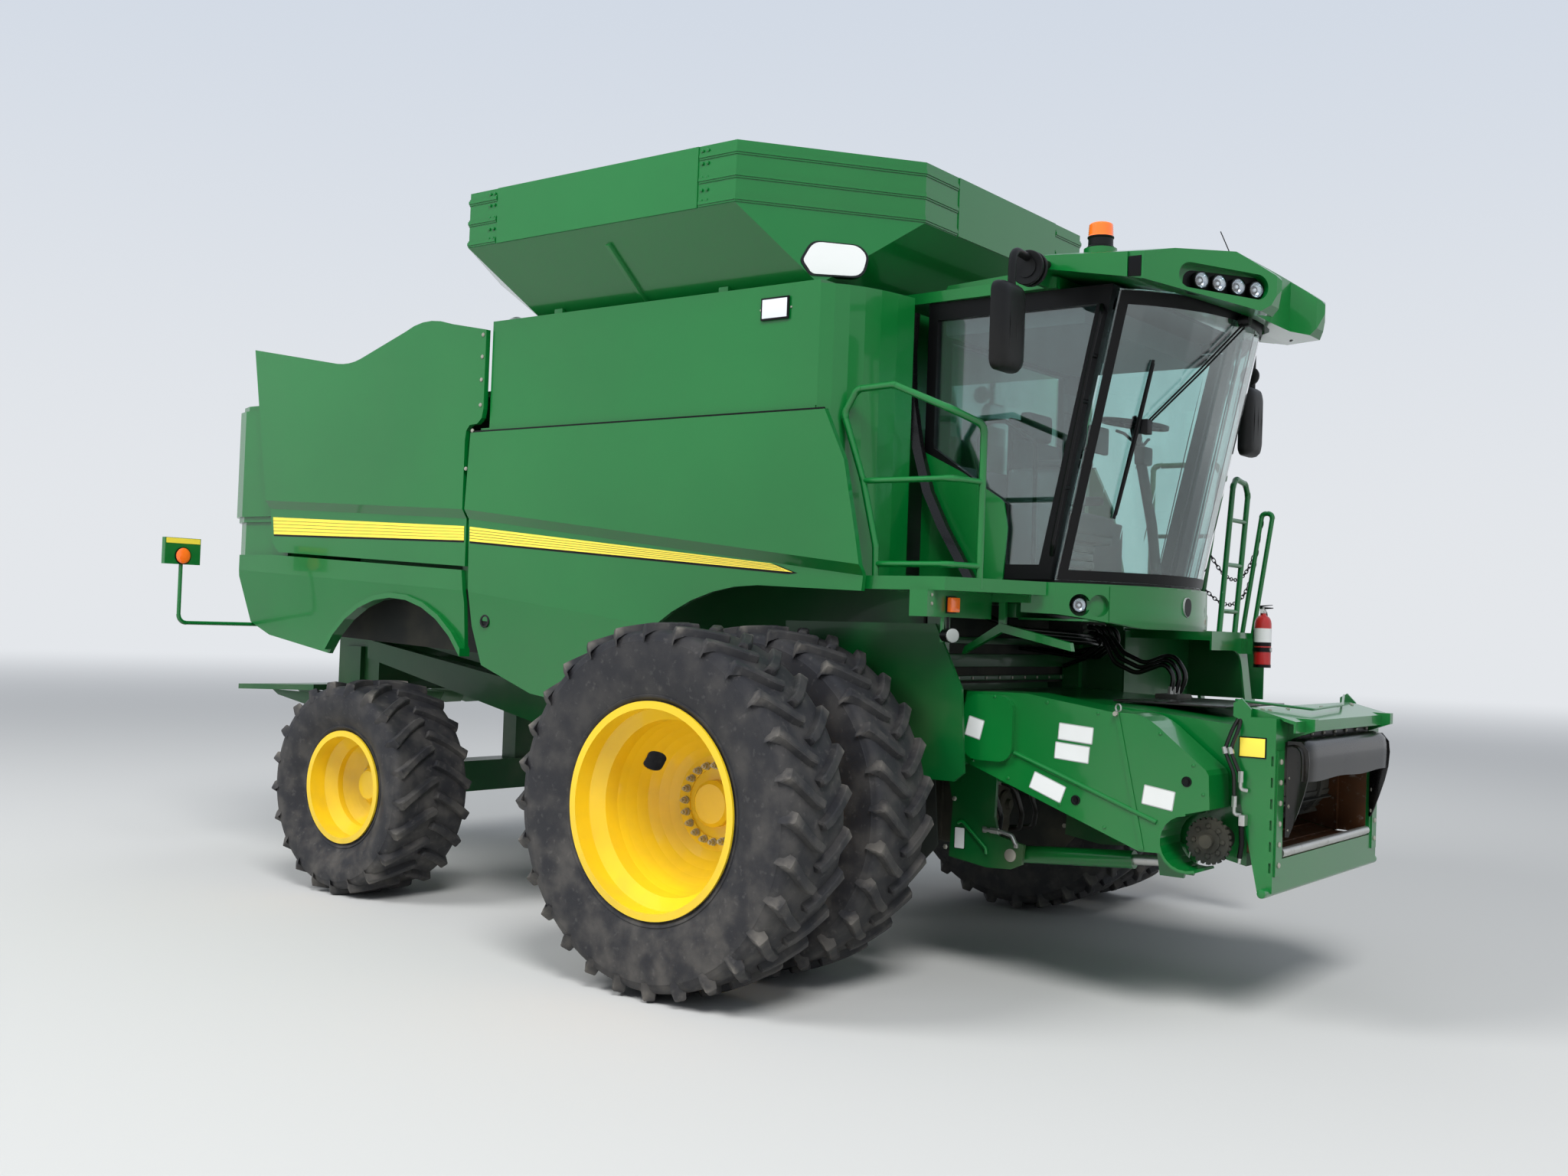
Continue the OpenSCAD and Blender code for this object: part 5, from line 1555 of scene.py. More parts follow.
@dataclass
class Mirrors:
    """Both outside mirrors with their arms."""

    arm_z: float = 3.89

    def make(self) -> None:
        """Makes both mirrors, and the small round one on the left."""
        piece = Piece("outside_mirrors", "chassis", "black_plastic", "black plastic")
        self.side(piece, RIGHT, 1.43, 3.49)
        self.side(piece, LEFT, 1.56, 3.372)
        shell = curve_points((0.0, 0.022), (0.05, 0.02), (0.062, 0.008), 5)
        shell += [(0.062, -0.008), (0.05, -0.018), (0.0, -0.02)]
        piece.boss(shell, facing((1.585, 1.38, 3.65), (0, -1, 0)))
        glass = curve_points((0.0, -0.006), (0.03, -0.005), (0.055, 0.0), 5) + [(0.055, 0.003), (0.0, 0.003)]
        piece.boss(glass, facing((1.585, 1.399, 3.65), (0, -1, 0)), "mirror face")
        piece.rod((1.585, 1.385, 3.65), (1.56, 1.49, 3.65), 0.011)
        piece.done("cab_mirrors")

    def side(self, piece: Piece, sign: float, x: float, z: float) -> None:
        """Adds one mirror.

        Args:
            piece: piece to add to.
            sign: side of the machine.
            x: place of the arm along the machine.
            z: height of the head's middle.
        """
        top = z + 0.225
        piece.tube([
            (x, sign * 1.49, top - 0.05), (x, sign * 1.49, self.arm_z), (x - 0.028, sign * 1.285, self.arm_z),
        ], 0.021, bend=0.09, sides=16)
        piece.rod((x - 0.03, sign * 1.3, 3.895), (x - 0.03, sign * 1.0605, 3.895), 0.022)
        for y in (1.229, 1.275):
            piece.turned([
                (0.052, -0.01), (0.088, -0.012), (0.092, -0.006), (0.092, 0.006), (0.088, 0.012), (0.052, 0.01),
            ], (x - 0.03, sign * y, 3.838), Axis.Y, steps=36)
        piece.turned([
            (0.0, -0.04), (0.054, -0.04), (0.054, 0.04), (0.0, 0.04),
        ], (x - 0.03, sign * 1.252, 3.838), Axis.Y, steps=28)
        low, high = both_ways(sign, 1.372, 1.63)
        rings = []
        for at, inset in (
            (-0.045, 0.012), (-0.04, 0.002), (-0.02, 0.0), (0.005, 0.004), (0.028, 0.018), (0.04, 0.04), (0.045, 0.07)
        ):
            outline = rounded(low + inset, high - inset, z - 0.23 + inset, z + 0.225 - inset, 0.055)
            rings.append([(x + at, y, h) for y, h in outline])
        piece.loft(rings)
        face = rounded(low + 0.016, high - 0.016, z - 0.214, z + 0.209, 0.042)
        piece.prism(face, Plane.YZ, x - 0.0475, x - 0.044, "mirror face")
        for share in (0.25, 0.5, 0.75):
            y = low + (high - low) * share
            piece.tube([(x + 0.04, y, z - 0.14), (x + 0.0445, y, z), (x + 0.04, y, z + 0.13)], 0.004, sides=6)


@dataclass
class CabTrim:
    """Seals, wiper, rails and roof fittings of the cab."""

    screen_x: float = 1.39
    screen_back: float = 0.761
    screen_r: float = 1.141
    floor: float = 2.23
    lean: float = math.radians(12)

    def on_screen(self, angle: float, z: float, proud: float = 0.0) -> Point:
        """Gives a point on the curved windscreen.

        Args:
            angle: degrees from the middle, towards the left.
            z: height.
            proud: distance outwards.

        Returns:
            The point.
        """
        turn = math.radians(angle)
        ahead = -self.screen_back + (self.screen_r + proud) * math.cos(turn)
        rise = (z - self.floor + ahead * math.sin(self.lean)) / math.cos(self.lean)
        x = self.screen_x + ahead * math.cos(self.lean) + rise * math.sin(self.lean)
        return (x, (self.screen_r + proud) * math.sin(turn), z)

    def make(self) -> None:
        """Makes the cab's trim."""
        piece = Piece("cab_trim", "chassis", "black_plastic", "dark trim")
        self.bands(piece)
        self.wiper(piece)
        self.rails(piece)
        self.seals(piece)
        piece.done()
        self.roof()

    def bands(self, piece: Piece) -> None:
        """Adds the black borders of the windscreen.

        Args:
            piece: piece to add to.
        """
        for low, high in ((2.231, 2.285), (3.7, 3.772)):
            grid = [[self.on_screen(a, z, 0.003) for z in (low, (low + high) / 2, high)] for a in range(-47, 48, 2)]
            piece.panel(grid, 0.004)
        for first, last in ((-47.5, -45.0), (45.0, 47.5)):
            grid = [
                [self.on_screen(a, z, 0.003) for z in [2.232 + 0.1538 * k for k in range(11)]]
                for a in (first, (first + last) / 2, last)
            ]
            piece.panel(grid, 0.004)

    def wiper(self, piece: Piece) -> None:
        """Adds the wiper: two rods from its pivot below the roof, and the blade.

        Args:
            piece: piece to add to.
        """
        pivot = Vector(self.on_screen(-5.5, 3.7, 0.035))
        joint = Vector(self.on_screen(-33.0, 3.06, 0.045))
        piece.turned(
            [(0, -0.03), (0.032, -0.03), (0.036, 0.0), (0.03, 0.03), (0, 0.034)], tuple(pivot), Axis.X, steps=20
        )
        for shift in (0.0, 0.045):
            start, end = pivot + Vector((0, shift, -0.01)), joint + Vector((0.0, shift * 0.7, 0.03))
            middle = start.lerp(end, 0.5) + Vector((0.03, -0.035, 0.0))
            piece.tube([tuple(start), tuple(middle), tuple(end)], 0.0055, bend=0.4, sides=8)
        spine = [self.on_screen(-34.6 - 0.1 * k, 3.4 - 0.081 * k, 0.03 - 0.01 * abs(k - 5) / 5) for k in range(11)]
        piece.tube(spine, 0.009, bend=0.2, sides=8)
        blade = [self.on_screen(-34.6 - 0.1 * k, 3.42 - 0.085 * k, 0.011) for k in range(11)]
        piece.tube(blade, 0.009, bend=0.2, sides=8, flat=0.5)
        piece.block(
            tuple(joint - Vector((0.03, 0.02, 0.035))), tuple(joint + Vector((0.012, 0.045, 0.045))), bevel=0.006
        )

    def rails(self, piece: Piece) -> None:
        """Adds the grab rail on the right front pillar and the rail inside the right window.

        Args:
            piece: piece to add to.
        """
        piece.tube([
            (1.64, -0.895, 3.69), (1.66, -0.94, 3.64), (1.606, -0.945, 3.395), (1.56, -0.945, 3.15),
            (1.42, -0.94, 2.42), (1.39, -0.892, 2.36),
        ], 0.011, bend=0.05, sides=10)
        for x, z in ((1.61, 3.42), (1.565, 3.18), (1.478, 2.72)):
            piece.rod((x, -0.888, z), (x, -0.95, z), 0.012, sides=12)
        piece.tube([
            (0.9, -0.815, 2.235), (0.872, -0.815, 3.034), (0.925, -0.815, 3.117), (1.04, -0.815, 3.111),
            (1.232, -0.815, 2.988), (1.24, -0.815, 2.235),
        ], 0.013, bend=0.07, sides=12)

    def seals(self, piece: Piece) -> None:
        """Adds the rubber seal between the cab and the right corner sheet; on the left the door swings there.

        Args:
            piece: piece to add to.
        """
        path = (
            (0.505, 3.74), (0.492, 3.52), (0.505, 3.26), (0.56, 2.98), (0.64, 2.72), (0.745, 2.52), (0.88, 2.31),
            (0.935, 2.225),
        )
        across = ((-0.02, -0.905, -0.01), (0.018, -0.925, 0.0), (0.018, -0.965, 0.0), (-0.025, -0.985, -0.012))
        piece.panel([[(x + dx, y, z + dz) for dx, y, dz in across] for x, z in path], 0.014, "black rubber")

    def roof(self) -> None:
        """Adds the notches in the roof's sides and the whip aerial."""
        piece = Piece("roof_trim", "chassis", "black_plastic", "dark trim")
        for sign in (RIGHT, LEFT):
            # Each notch is a thin near-black plate on the roof's side: painted shade of the recess.
            notch = [(1.86, 3.788), (1.932, 3.786), (1.932, 3.89), (1.86, 3.891)]
            piece.side_prism(notch, sign, 1.04, 1.0545, bevel=0.002)
        piece.tube([(1.83, 0.62, 4.0), (1.83, 0.62, 4.055), (1.66, 0.64, 4.42)], 0.0035, bend=0.03, sides=6)
        piece.turned([
            (0.0, 0.0), (0.022, 0.0), (0.018, 0.02), (0.008, 0.045), (0.0, 0.05),
        ], (1.83, 0.62, 3.985), Axis.Z, steps=18)
        piece.done()


@dataclass
class CabRoom:
    """Seat, console and wheel inside the cab."""

    floor: float = 2.23
    wheel: Point = (1.43, 0.0, 3.175)

    def make(self) -> None:
        """Makes the cab's inside."""
        self.seat_frame()
        self.cushions()
        self.steering()
        self.console()

    def seat_frame(self) -> None:
        """Adds the seat's foot and shells, which stand for the CAD seat."""
        piece = Piece("seat_frame", "chassis", "seat_fabric", "cab grey")
        z = self.floor
        piece.block((0.82, -0.2, z), (1.16, 0.2, z + 0.05), "black plastic", 0.01)
        for level in range(4):
            out, foot = 0.008 * (level % 2), z + 0.05 * level
            piece.block((0.86 - out, -0.16, foot + 0.05), (1.12 + out, 0.16, foot + 0.095), "black rubber", 0.012)
        piece.block((0.79, -0.245, z + 0.25), (1.2, 0.245, z + 0.3), "black plastic", 0.02)
        piece.block((0.725, -0.235, z + 0.33), (0.755, 0.235, z + 0.99), "black plastic", 0.012)
        piece.block((0.745, -0.06, z + 0.22), (0.8, 0.06, z + 0.4), "black plastic", 0.01)
        for sign in (LEFT, RIGHT):
            low, high = both_ways(sign, 0.275, 0.325)
            piece.block((0.8, low, z + 0.5), (1.1, high, z + 0.555), "seat cloth", 0.02)
            piece.rod((0.8, sign * 0.3, z + 0.525), (0.77, sign * 0.24, z + 0.46), 0.014, "black plastic", 12)
        piece.done("operator_seat")

    def cushions(self) -> None:
        """Adds the seat's padded parts: seat, back and head rest."""
        z = self.floor
        for name, low, high, crown in (
            ("seat_cushion", (0.8, -0.245, z + 0.297), (1.215, 0.245, z + 0.405), Vector((0, 0, 0.03))),
            ("back_cushion", (0.752, -0.235, z + 0.4), (0.835, 0.235, z + 0.86), Vector((0.03, 0, 0))),
            ("head_rest", (0.752, -0.14, z + 0.87), (0.825, 0.14, z + 1.035), Vector((0.02, 0, 0))),
        ):
            item = self.cushion(name, Vector(low), Vector(high), crown)
            settle(item, "chassis", "seat_fabric")

    @staticmethod
    def cushion(name: str, low: Vector, high: Vector, crown: Vector) -> Object:
        """Makes a crowned cushion with rounded edges and two sewn channels.

        Args:
            name: name of the piece.
            low, high: corners of its box.
            crown: how far its face swells, and which way.

        Returns:
            The cushion's object.
        """
        part = box(low, high)
        bmesh.ops.bevel(
            part, geom=part.edges[:], offset=0.028, segments=4, profile=0.7, affect="EDGES", clamp_overlap=True
        )
        bmesh.ops.subdivide_edges(
            part, edges=[e for e in part.edges if e.calc_length() > 0.1], cuts=9, use_grid_fill=True
        )
        middle, half = (high + low) / 2, (high - low) / 2
        face = crown.normalized()
        lane = Vector((0, 1, 0))
        for vertex in part.verts:
            offset = vertex.co - middle
            if offset.dot(face) <= 0:
                continue
            spread = 1.0
            for axis in range(3):
                if abs(face[axis]) < 0.5:
                    spread *= max(0.0, 1 - (offset[axis] / half[axis]) ** 4)
            across = offset.dot(lane) / half.y
            channel = sum(math.exp(-((across - at) / 0.035) ** 2) for at in (-0.42, 0.42))
            vertex.co += crown * spread * (1 - 0.75 * channel)
        bmesh.ops.translate(part, vec=(FRONT_AXLE_X, 0, 0), verts=part.verts)
        bmesh.ops.recalc_face_normals(part, faces=part.faces)
        data = to_data(part, name)
        for polygon in data.polygons:
            polygon.use_smooth = True
        data.materials.append(FINISHES.get("seat cloth"))
        return new_object(name, data)

    def steering(self) -> None:
        """Adds the column and the three spoked steering wheel, which stand for the CAD column."""
        piece = Piece("steering_set", "chassis", "black_plastic", "black plastic")
        z = self.floor
        piece.block((1.525, -0.085, z), (1.675, 0.085, z + 0.055), bevel=0.015)
        piece.tube(
            [(1.6, 0, z + 0.03), (1.56, 0, z + 0.35), (1.47, 0, 3.0), (1.436, 0, 3.16)], 0.03, bend=0.2, sides=16
        )
        piece.block((1.46, -0.06, 2.93), (1.53, 0.06, 3.04), bevel=0.02)
        turn = facing(self.wheel, (0.139, 0, 0.99))
        rim = [(0.19 + 0.0155 * math.cos(a), 0.0155 * math.sin(a)) for a in turns(12)]
        piece.boss(rim, turn, "dark trim", 56)
        piece.boss([(0.0, -0.028), (0.05, -0.028), (0.058, -0.01), (0.05, 0.014), (0.0, 0.018)], turn, "dark trim", 28)
        for angle in (90, 210, 330):
            a = math.radians(angle)
            spoke = [
                tuple(turn @ Vector((along, reach * math.cos(a), reach * math.sin(a))))
                for along, reach in ((-0.004, 0.03), (0.0, 0.185))
            ]
            piece.tube(spoke, 0.013, "dark trim", sides=10, flat=0.6)
        piece.boss([
            (0.0, 0.0), (0.011, 0.0), (0.016, 0.02), (0.018, 0.045), (0.0, 0.055),
        ], turn @ Matrix.Translation((0.012, 0.165, 0.08)), "dark trim", 14)
        for sign, reach in ((1.0, 0.15), (-1.0, 0.17)):
            piece.tube([
                (1.47, sign * 0.04, 3.05), (1.45, sign * reach, 3.1), (1.43, sign * (reach + 0.06), 3.11),
            ], 0.009, bend=0.05, sides=8)
        piece.done("steering_column")

    def console(self) -> None:
        """Adds the arm rest with its lever and screens, the mat and the lining behind the seat."""
        piece = Piece("cab_console", "chassis", "black_plastic", "black plastic")
        z = self.floor
        piece.block((0.62, -0.8, z + 0.001), (1.42, 0.8, z + 0.012), "black rubber", 0.003)
        piece.block((0.84, -0.43, z + 0.44), (1.3, -0.31, z + 0.66), "cab grey", 0.03)
        piece.block((1.02, -0.46, z + 0.655), (1.33, -0.3, z + 0.7), bevel=0.018)
        piece.tube(
            [(1.24, -0.38, z + 0.69), (1.245, -0.38, z + 0.76), (1.27, -0.36, z + 0.82)], 0.022, "dark trim", bend=0.05
        )
        piece.turned([
            (0.0, -0.02), (0.024, -0.014), (0.032, 0.02), (0.026, 0.05), (0.0, 0.06),
        ], (1.268, -0.362, z + 0.82), Axis.Z, "dark trim", 18)
        piece.block((0.8, -0.44, z), (1.26, -0.5, z + 0.45), "cab grey", 0.02)
        self.screen(piece, (1.5, -0.6, z + 0.78), 0.2, 0.15)
        self.screen(piece, (1.34, -0.62, z + 0.98), 0.15, 0.11)
        piece.rod((1.3, -0.62, z + 0.66), (1.36, -0.62, z + 0.95), 0.012, "dark trim", 12)
        piece.rod((1.3, -0.6, z + 0.68), (1.49, -0.6, z + 0.76), 0.012, "dark trim", 12)
        piece.rod((1.3, -0.44, z + 0.67), (1.3, -0.63, z + 0.67), 0.014, "dark trim", 12)
        piece.block((0.612, -0.83, z + 0.02), (0.66, 0.83, z + 0.66), "cab grey", 0.01)
        piece.block((0.615, -0.8, 3.62), (1.5, 0.8, 3.765), "cab grey", 0.02)
        piece.block((0.68, 0.34, z + 0.012), (1.02, 0.78, z + 0.42), "seat cloth", 0.03)
        piece.done()

    @staticmethod
    def screen(piece: Piece, centre: Point, width: float, height: float) -> None:
        """Adds a display with a dark face, turned towards the seat.

        Args:
            piece: piece to add to.
            centre: middle of the display.
            width, height: its size.
        """
        x, y, z = centre
        for back, front, inset, finish, bevel in (
            (-0.018, 0.018, 0.0, None, 0.012), (-0.021, -0.017, 0.015, "dark trim", 0.001)
        ):
            across, up = width / 2 - inset, height / 2 - inset
            piece.block((x + back, y - across, z - up), (x + front, y + across, z + up), finish, bevel)


@dataclass
class FeederFace:
    """Faceplate, throat and awning of the feeder house."""

    face: float = 2.62
    half: float = 0.69
    slat_radius: float = 0.172

    def make(self) -> None:
        """Makes the pieces at the feeder's mouth."""
        self.awning()
        self.liner()
        self.fittings()
        bolt = Piece("face_bolts", "feeder", "bright_steel", "stud zinc")
        for y in (-0.77, 0.77):
            turn = facing((self.face + 0.007, y, 0.835), (1, 0, 0))
            bolt.boss([(0, 0), (0.014, 0), (0.014, 0.005), (0.01, 0.009), (0, 0.01)], turn, steps=12)
        Repeat.row(bolt, 6, (0, 0, 0.102))

    def awning(self) -> None:
        """Adds the rubber awning: clamp strip, curved sheet and the two flaps, in place of the CAD one."""
        piece = Piece("throat_awning", "feeder", "black_rubber", "black rubber")
        face = self.face
        piece.block((face + 0.0003, -0.6, 1.452), (face + 0.014, 0.6, 1.489), "dark trim", 0.004)
        for index in range(7):
            y = -0.54 + 0.18 * index
            piece.boss([
                (0, 0), (0.013, 0), (0.013, 0.007), (0.007, 0.012), (0, 0.012),
            ], facing((face + 0.013, y, 1.472), (1, 0, 0)), "stud zinc", 6)
        profile = ((0.045, 1.458), (0.08, 1.45), (0.101, 1.43), (0.111, 1.4), (0.114, 1.36), (0.113, 1.31))
        grid = []
        for index in range(29):
            y = -self.half + 2 * self.half * index / 28
            edge = max(0.0, (abs(y) - 0.56) / (self.half - 0.56))
            round_in = 0.032 * edge ** 2.5
            drop = 1.25 - 0.005 * math.sin(index * 0.45)
            reach = 1 - 0.25 * edge ** 3
            row = [(face + along * reach, y, z - round_in) for along, z in profile]
            grid.append([(face + 0.004, y, 1.452 - round_in), *row, (face + 0.11 * reach, y, drop)])
        piece.panel(grid, 0.008)
        for sign in (LEFT, RIGHT):
            flap = []
            for z, near, far in (
                (1.445, 0.008, 0.07), (1.4, 0.006, 0.108), (1.34, 0.006, 0.114), (1.26, 0.006, 0.108),
                (1.18, 0.006, 0.09), (1.1, 0.006, 0.066), (1.02, 0.006, 0.04), (0.965, 0.006, 0.02),
            ):
                belly = 0.02 * math.sin(math.pi * min(1.0, (1.46 - z) / 0.5))
                row = []
                for k in range(6):
                    y = self.half - 0.006 - belly * math.sin(math.pi * k / 5) - 0.014 * (k / 5) ** 3
                    row.append((face + near + (far - near) * k / 5, sign * y, z))
                flap.append(row)
            piece.panel(flap, 0.007)
            for z in (1.4, 1.26, 1.12, 1.0):
                low, high = both_ways(sign, 0.664, 0.676)
                piece.boss(
                    head(0.011, 0.006, 0.009), facing((face + 0.014, (low + high) / 2, z), (1, 0, 0)), "stud zinc", 6
                )
        # Curved shield in front of the drum, with its bolted strip
        shield = []
        for x, z in ((2.505, 1.432), (2.52, 1.392), (2.515, 1.33), (2.49, 1.27), (2.455, 1.225), (2.43, 1.205)):
            shield.append([(x, -0.664 + 1.328 * k / 8, z) for k in range(9)])
        piece.panel(shield, 0.006, "cast iron")
        piece.block((2.517, 0.1, 1.325), (2.533, 0.56, 1.385), "dark trim", 0.005)
        for y in (0.15, 0.26, 0.37, 0.48):
            piece.boss(head(0.014, 0.006, 0.011), facing((2.532, y, 1.355), (1, 0, 0)), "cast iron", 12)
        piece.done("feeder_hood")

    def liner(self) -> None:
        """Adds the worn sheets inside the throat, the conveyor's slats and the lip bar."""
        piece = Piece("throat_liner", "feeder", "worn_steel", "worn steel")
        piece.prism([
            (1.02, 1.1575), (2.44, 0.861), (2.612, 0.861), (2.612, 0.868), (2.44, 0.869), (1.02, 1.166),
        ], Plane.XZ, -0.668, 0.668)
        for sign in (LEFT, RIGHT):
            wall = [(1.02, 1.17), (2.44, 0.872), (2.44, 1.436), (1.8, 1.494), (1.02, 1.494)]
            piece.side_prism(wall, sign, 0.6645, 0.669)
            low, high = both_ways(sign, 0.694, 0.6995)
            piece.block((2.445, low, 0.872), (2.6, high, 1.436), bevel=0.001)
            low, high = both_ways(sign, 0.664, 0.6995)
            piece.block((2.4405, low, 0.872), (2.4475, high, 1.436), bevel=0.001)
        for x in (2.18, 2.3, 2.42, 2.54):
            z = 0.869 + max(0.0, 2.44 - x) * 0.2088
            piece.block((x, -0.64, z - 0.002), (x + 0.012, 0.64, z + 0.005), bevel=0.002)
        # Near-black sheet across the throat further in: painted shade of the throat's dark inside.
        piece.block((1.56, -0.664, 1.062), (1.575, 0.664, 1.485), "dark trim", 0.002)
        piece.rod((2.604, -0.69, 0.885), (2.604, 0.69, 0.885), 0.024, "bright steel", 24)
        for angle in (-55, -20, 15):
            a = math.radians(angle)
            ahead, up = math.cos(a), math.sin(a)
            section = []
            for across, out in (
                (-0.022, 0.0), (-0.018, 0.03), (-0.01, 0.03), (-0.01, 0.006), (0.022, 0.006), (0.022, 0.0)
            ):
                radius = self.slat_radius + out
                section.append((2.25 + ahead * radius - up * across, 1.15 + up * radius + ahead * across))
            piece.prism(section, Plane.XZ, -0.6, 0.6, "cast iron")
        for y in (-0.42, 0.0, 0.42):
            piece.turned(
                [(0.166, -0.026), (0.19, -0.02), (0.19, 0.02), (0.166, 0.026)], (2.25, y, 1.15), Axis.Y, "cast iron", 36
            )
        piece.done()

    def fittings(self) -> None:
        """Adds the hoses beside the faceplate, the blank plates, the hinge bar's caps and the bolts on top."""
        piece = Piece("face_fittings", "feeder", "black_rubber", "black rubber")
        y = -0.862
        for shift, last in ((0.0, 1.13), (0.03, 1.255)):
            piece.tube([
                (2.425 + shift * 0.4, y + 0.045, 1.55), (2.412 + shift, y, 1.5), (2.372 + shift, y, 1.39),
                (2.424 + shift, y, 1.277), (2.43 + shift, y, last),
            ], 0.01, bend=0.09, sides=10)
            piece.rod((2.43 + shift, y, last + 0.035), (2.43 + shift, y, last - 0.02), 0.014, "bright steel", 6)
            piece.tube([
                (2.43 + shift, y, last - 0.015), (2.43 + shift, y, last - 0.055),
                (2.458 + shift, y + 0.02, last - 0.06),
            ], 0.01, "bright steel", bend=0.02, sides=10)
            piece.rod((2.371 + shift, y, 1.405), (2.38 + shift, y, 1.372), 0.015, "bright steel", 10)
        piece.block((2.458, y - 0.012, 1.02), (2.49, -0.8285, 1.075), "bright steel", 0.004)
        piece.tube([(2.47, y, 1.02), (2.475, y, 0.93), (2.465, y, 0.86)], 0.013, "dark trim", bend=0.05)
        piece.rod((2.468, y, 0.875), (2.464, y, 0.835), 0.009, "bright steel", 10)
        piece.block((2.434, -0.8345, 1.358), (2.574, -0.8285, 1.462), "dark trim", 0.002)
        piece.block((2.44, -0.836, 1.364), (2.568, -0.834, 1.456), "stripe yellow", 0.0008)
        for sign in (LEFT, RIGHT):
            piece.boss([
                (0.0, 0.026), (0.012, 0.026), (0.022, 0.022), (0.0235, 0.0), (0.0, 0.0),
            ], facing((2.59, sign * 0.869, 0.702), (0, sign, 0)), "body green", 24)
            piece.turned(head(0.012, 0.006, 0.009), (2.5, sign * 0.7, 1.594), Axis.Z, "stud zinc", 6)
        for index in range(6):
            piece.turned(head(0.011, 0.006, 0.009), (2.52, -0.65 + 0.26 * index, 1.59), Axis.Z, "stud zinc", 6)
        piece.tube([
            (2.4, -0.8, 1.64), (2.62, -0.3, 1.594), (2.58, 0.3, 1.603), (2.44, 0.76, 1.64),
        ], 0.007, "body green", bend=0.1, sides=8)
        piece.block((1.55, -0.42, 1.5755), (2.2, 0.46, 1.5865), bevel=0.003)
        piece.done()


@dataclass
class FeederCover:
    """Blank plates, plugs and bolts of the feeder's drive cover."""

    face: float = -1.0
    plates: tuple[tuple[float, float, float, float, float], ...] = (
        (1.032, 1.413, 0.1, 0.11, -14.0), (1.621, 1.422, 0.2, 0.09, -4.0), (1.603, 1.321, 0.2, 0.09, -4.0),
        (1.467, 1.128, 0.2, 0.095, -20.0), (2.09, 1.132, 0.17, 0.1, -8.0),
    )
    top_bolts: tuple[Flat, ...] = (
        (1.15, 1.59), (1.45, 1.575), (1.745, 1.535), (2.09, 1.455), (2.27, 1.31), (2.325, 1.17)
    )
    low_bolts: tuple[Flat, ...] = ((1.01, 1.232), (1.23, 1.155), (1.54, 1.045), (1.8, 0.952))

    def make(self) -> None:
        """Makes the cover's small pieces."""
        piece = Piece("cover_plates", "feeder", "bright_steel", "label white")
        for x, z, width, height, tilt in self.plates:
            face = self.face - (0.032 if x < 1.2 else 0.0)
            self.plate(piece, (x, face, z), width, height, tilt)
        for x, z in ((2.237, 1.226), (1.633, 1.076)):
            piece.boss([
                (0.0, 0.0), (0.026, 0.0), (0.026, 0.004), (0.02, 0.008), (0.012, 0.003), (0.0, 0.003),
            ], facing((x, self.face, z), (0, -1, 0)), "dark trim", 24)
        for x, z in self.top_bolts + self.low_bolts:
            face = self.face - (0.031 if x < 1.24 and z > 1.25 else 0.0)
            piece.boss([
                (0, -0.002), (0.009, -0.002), (0.009, 0.003), (0.005, 0.006), (0, 0.006),
            ], facing((x, face, z), (0, -1, 0)), "body green", 12)
        piece.rod((1.85, -1.004, 1.54), (1.85, -1.026, 1.54), 0.013, "stud zinc", 6)
        ring = [(0.02 + 0.005 * math.cos(a), 0.005 * math.sin(a)) for a in turns(10)]
        piece.boss(ring, facing((1.85, -0.985, 1.568), (0.4, 0.9, 0)), "bright steel", 24)
        piece.done()
        drive = Piece("drive_ring_bolts", "feeder", "engine_iron", "cast iron")
        turn = facing((2.315 + 0.075, -0.8955, 0.931), (0, -1, 0))
        drive.boss([(0, 0), (0.014, 0), (0.014, 0.008), (0.008, 0.013), (0, 0.013)], turn, steps=6)
        Repeat.ring(drive, 8, (2.315, 0, 0.931), (0, 1, 0))
        sprocket = Piece("drive_teeth", "feeder", "engine_iron", "cast iron")
        sprocket.prism(
            [(2.417, 0.917), (2.434, 0.925), (2.434, 0.937), (2.417, 0.945)], Plane.XZ, -0.893, -0.876, bevel=0.001
        )
        Repeat.ring(sprocket, 24, (2.315, 0, 0.931), (0, 1, 0))

    @staticmethod
    def plate(piece: Piece, centre: Point, width: float, height: float, tilt: float) -> None:
        """Adds a blank plate with a thin dark border to a face that looks to the right.

        Args:
            piece: piece to add to.
            centre: middle of the plate, on the face.
            width, height: size of the plate.
            tilt: degrees that it leans forwards.
        """
        turn = facing(centre, (0, -1, 0)) @ Matrix.Rotation(math.radians(tilt), 4, "X")
        piece.prism(
            rounded(-width / 2, width / 2, -height / 2, height / 2, 0.006), Plane.YZ, -0.002, 0.0014, "label grey",
            turn=turn
        )
        inner = rounded(-width / 2 + 0.005, width / 2 - 0.005, -height / 2 + 0.005, height / 2 - 0.005, 0.004)
        piece.prism(inner, Plane.YZ, 0.0, 0.0022, "label white", turn=turn)


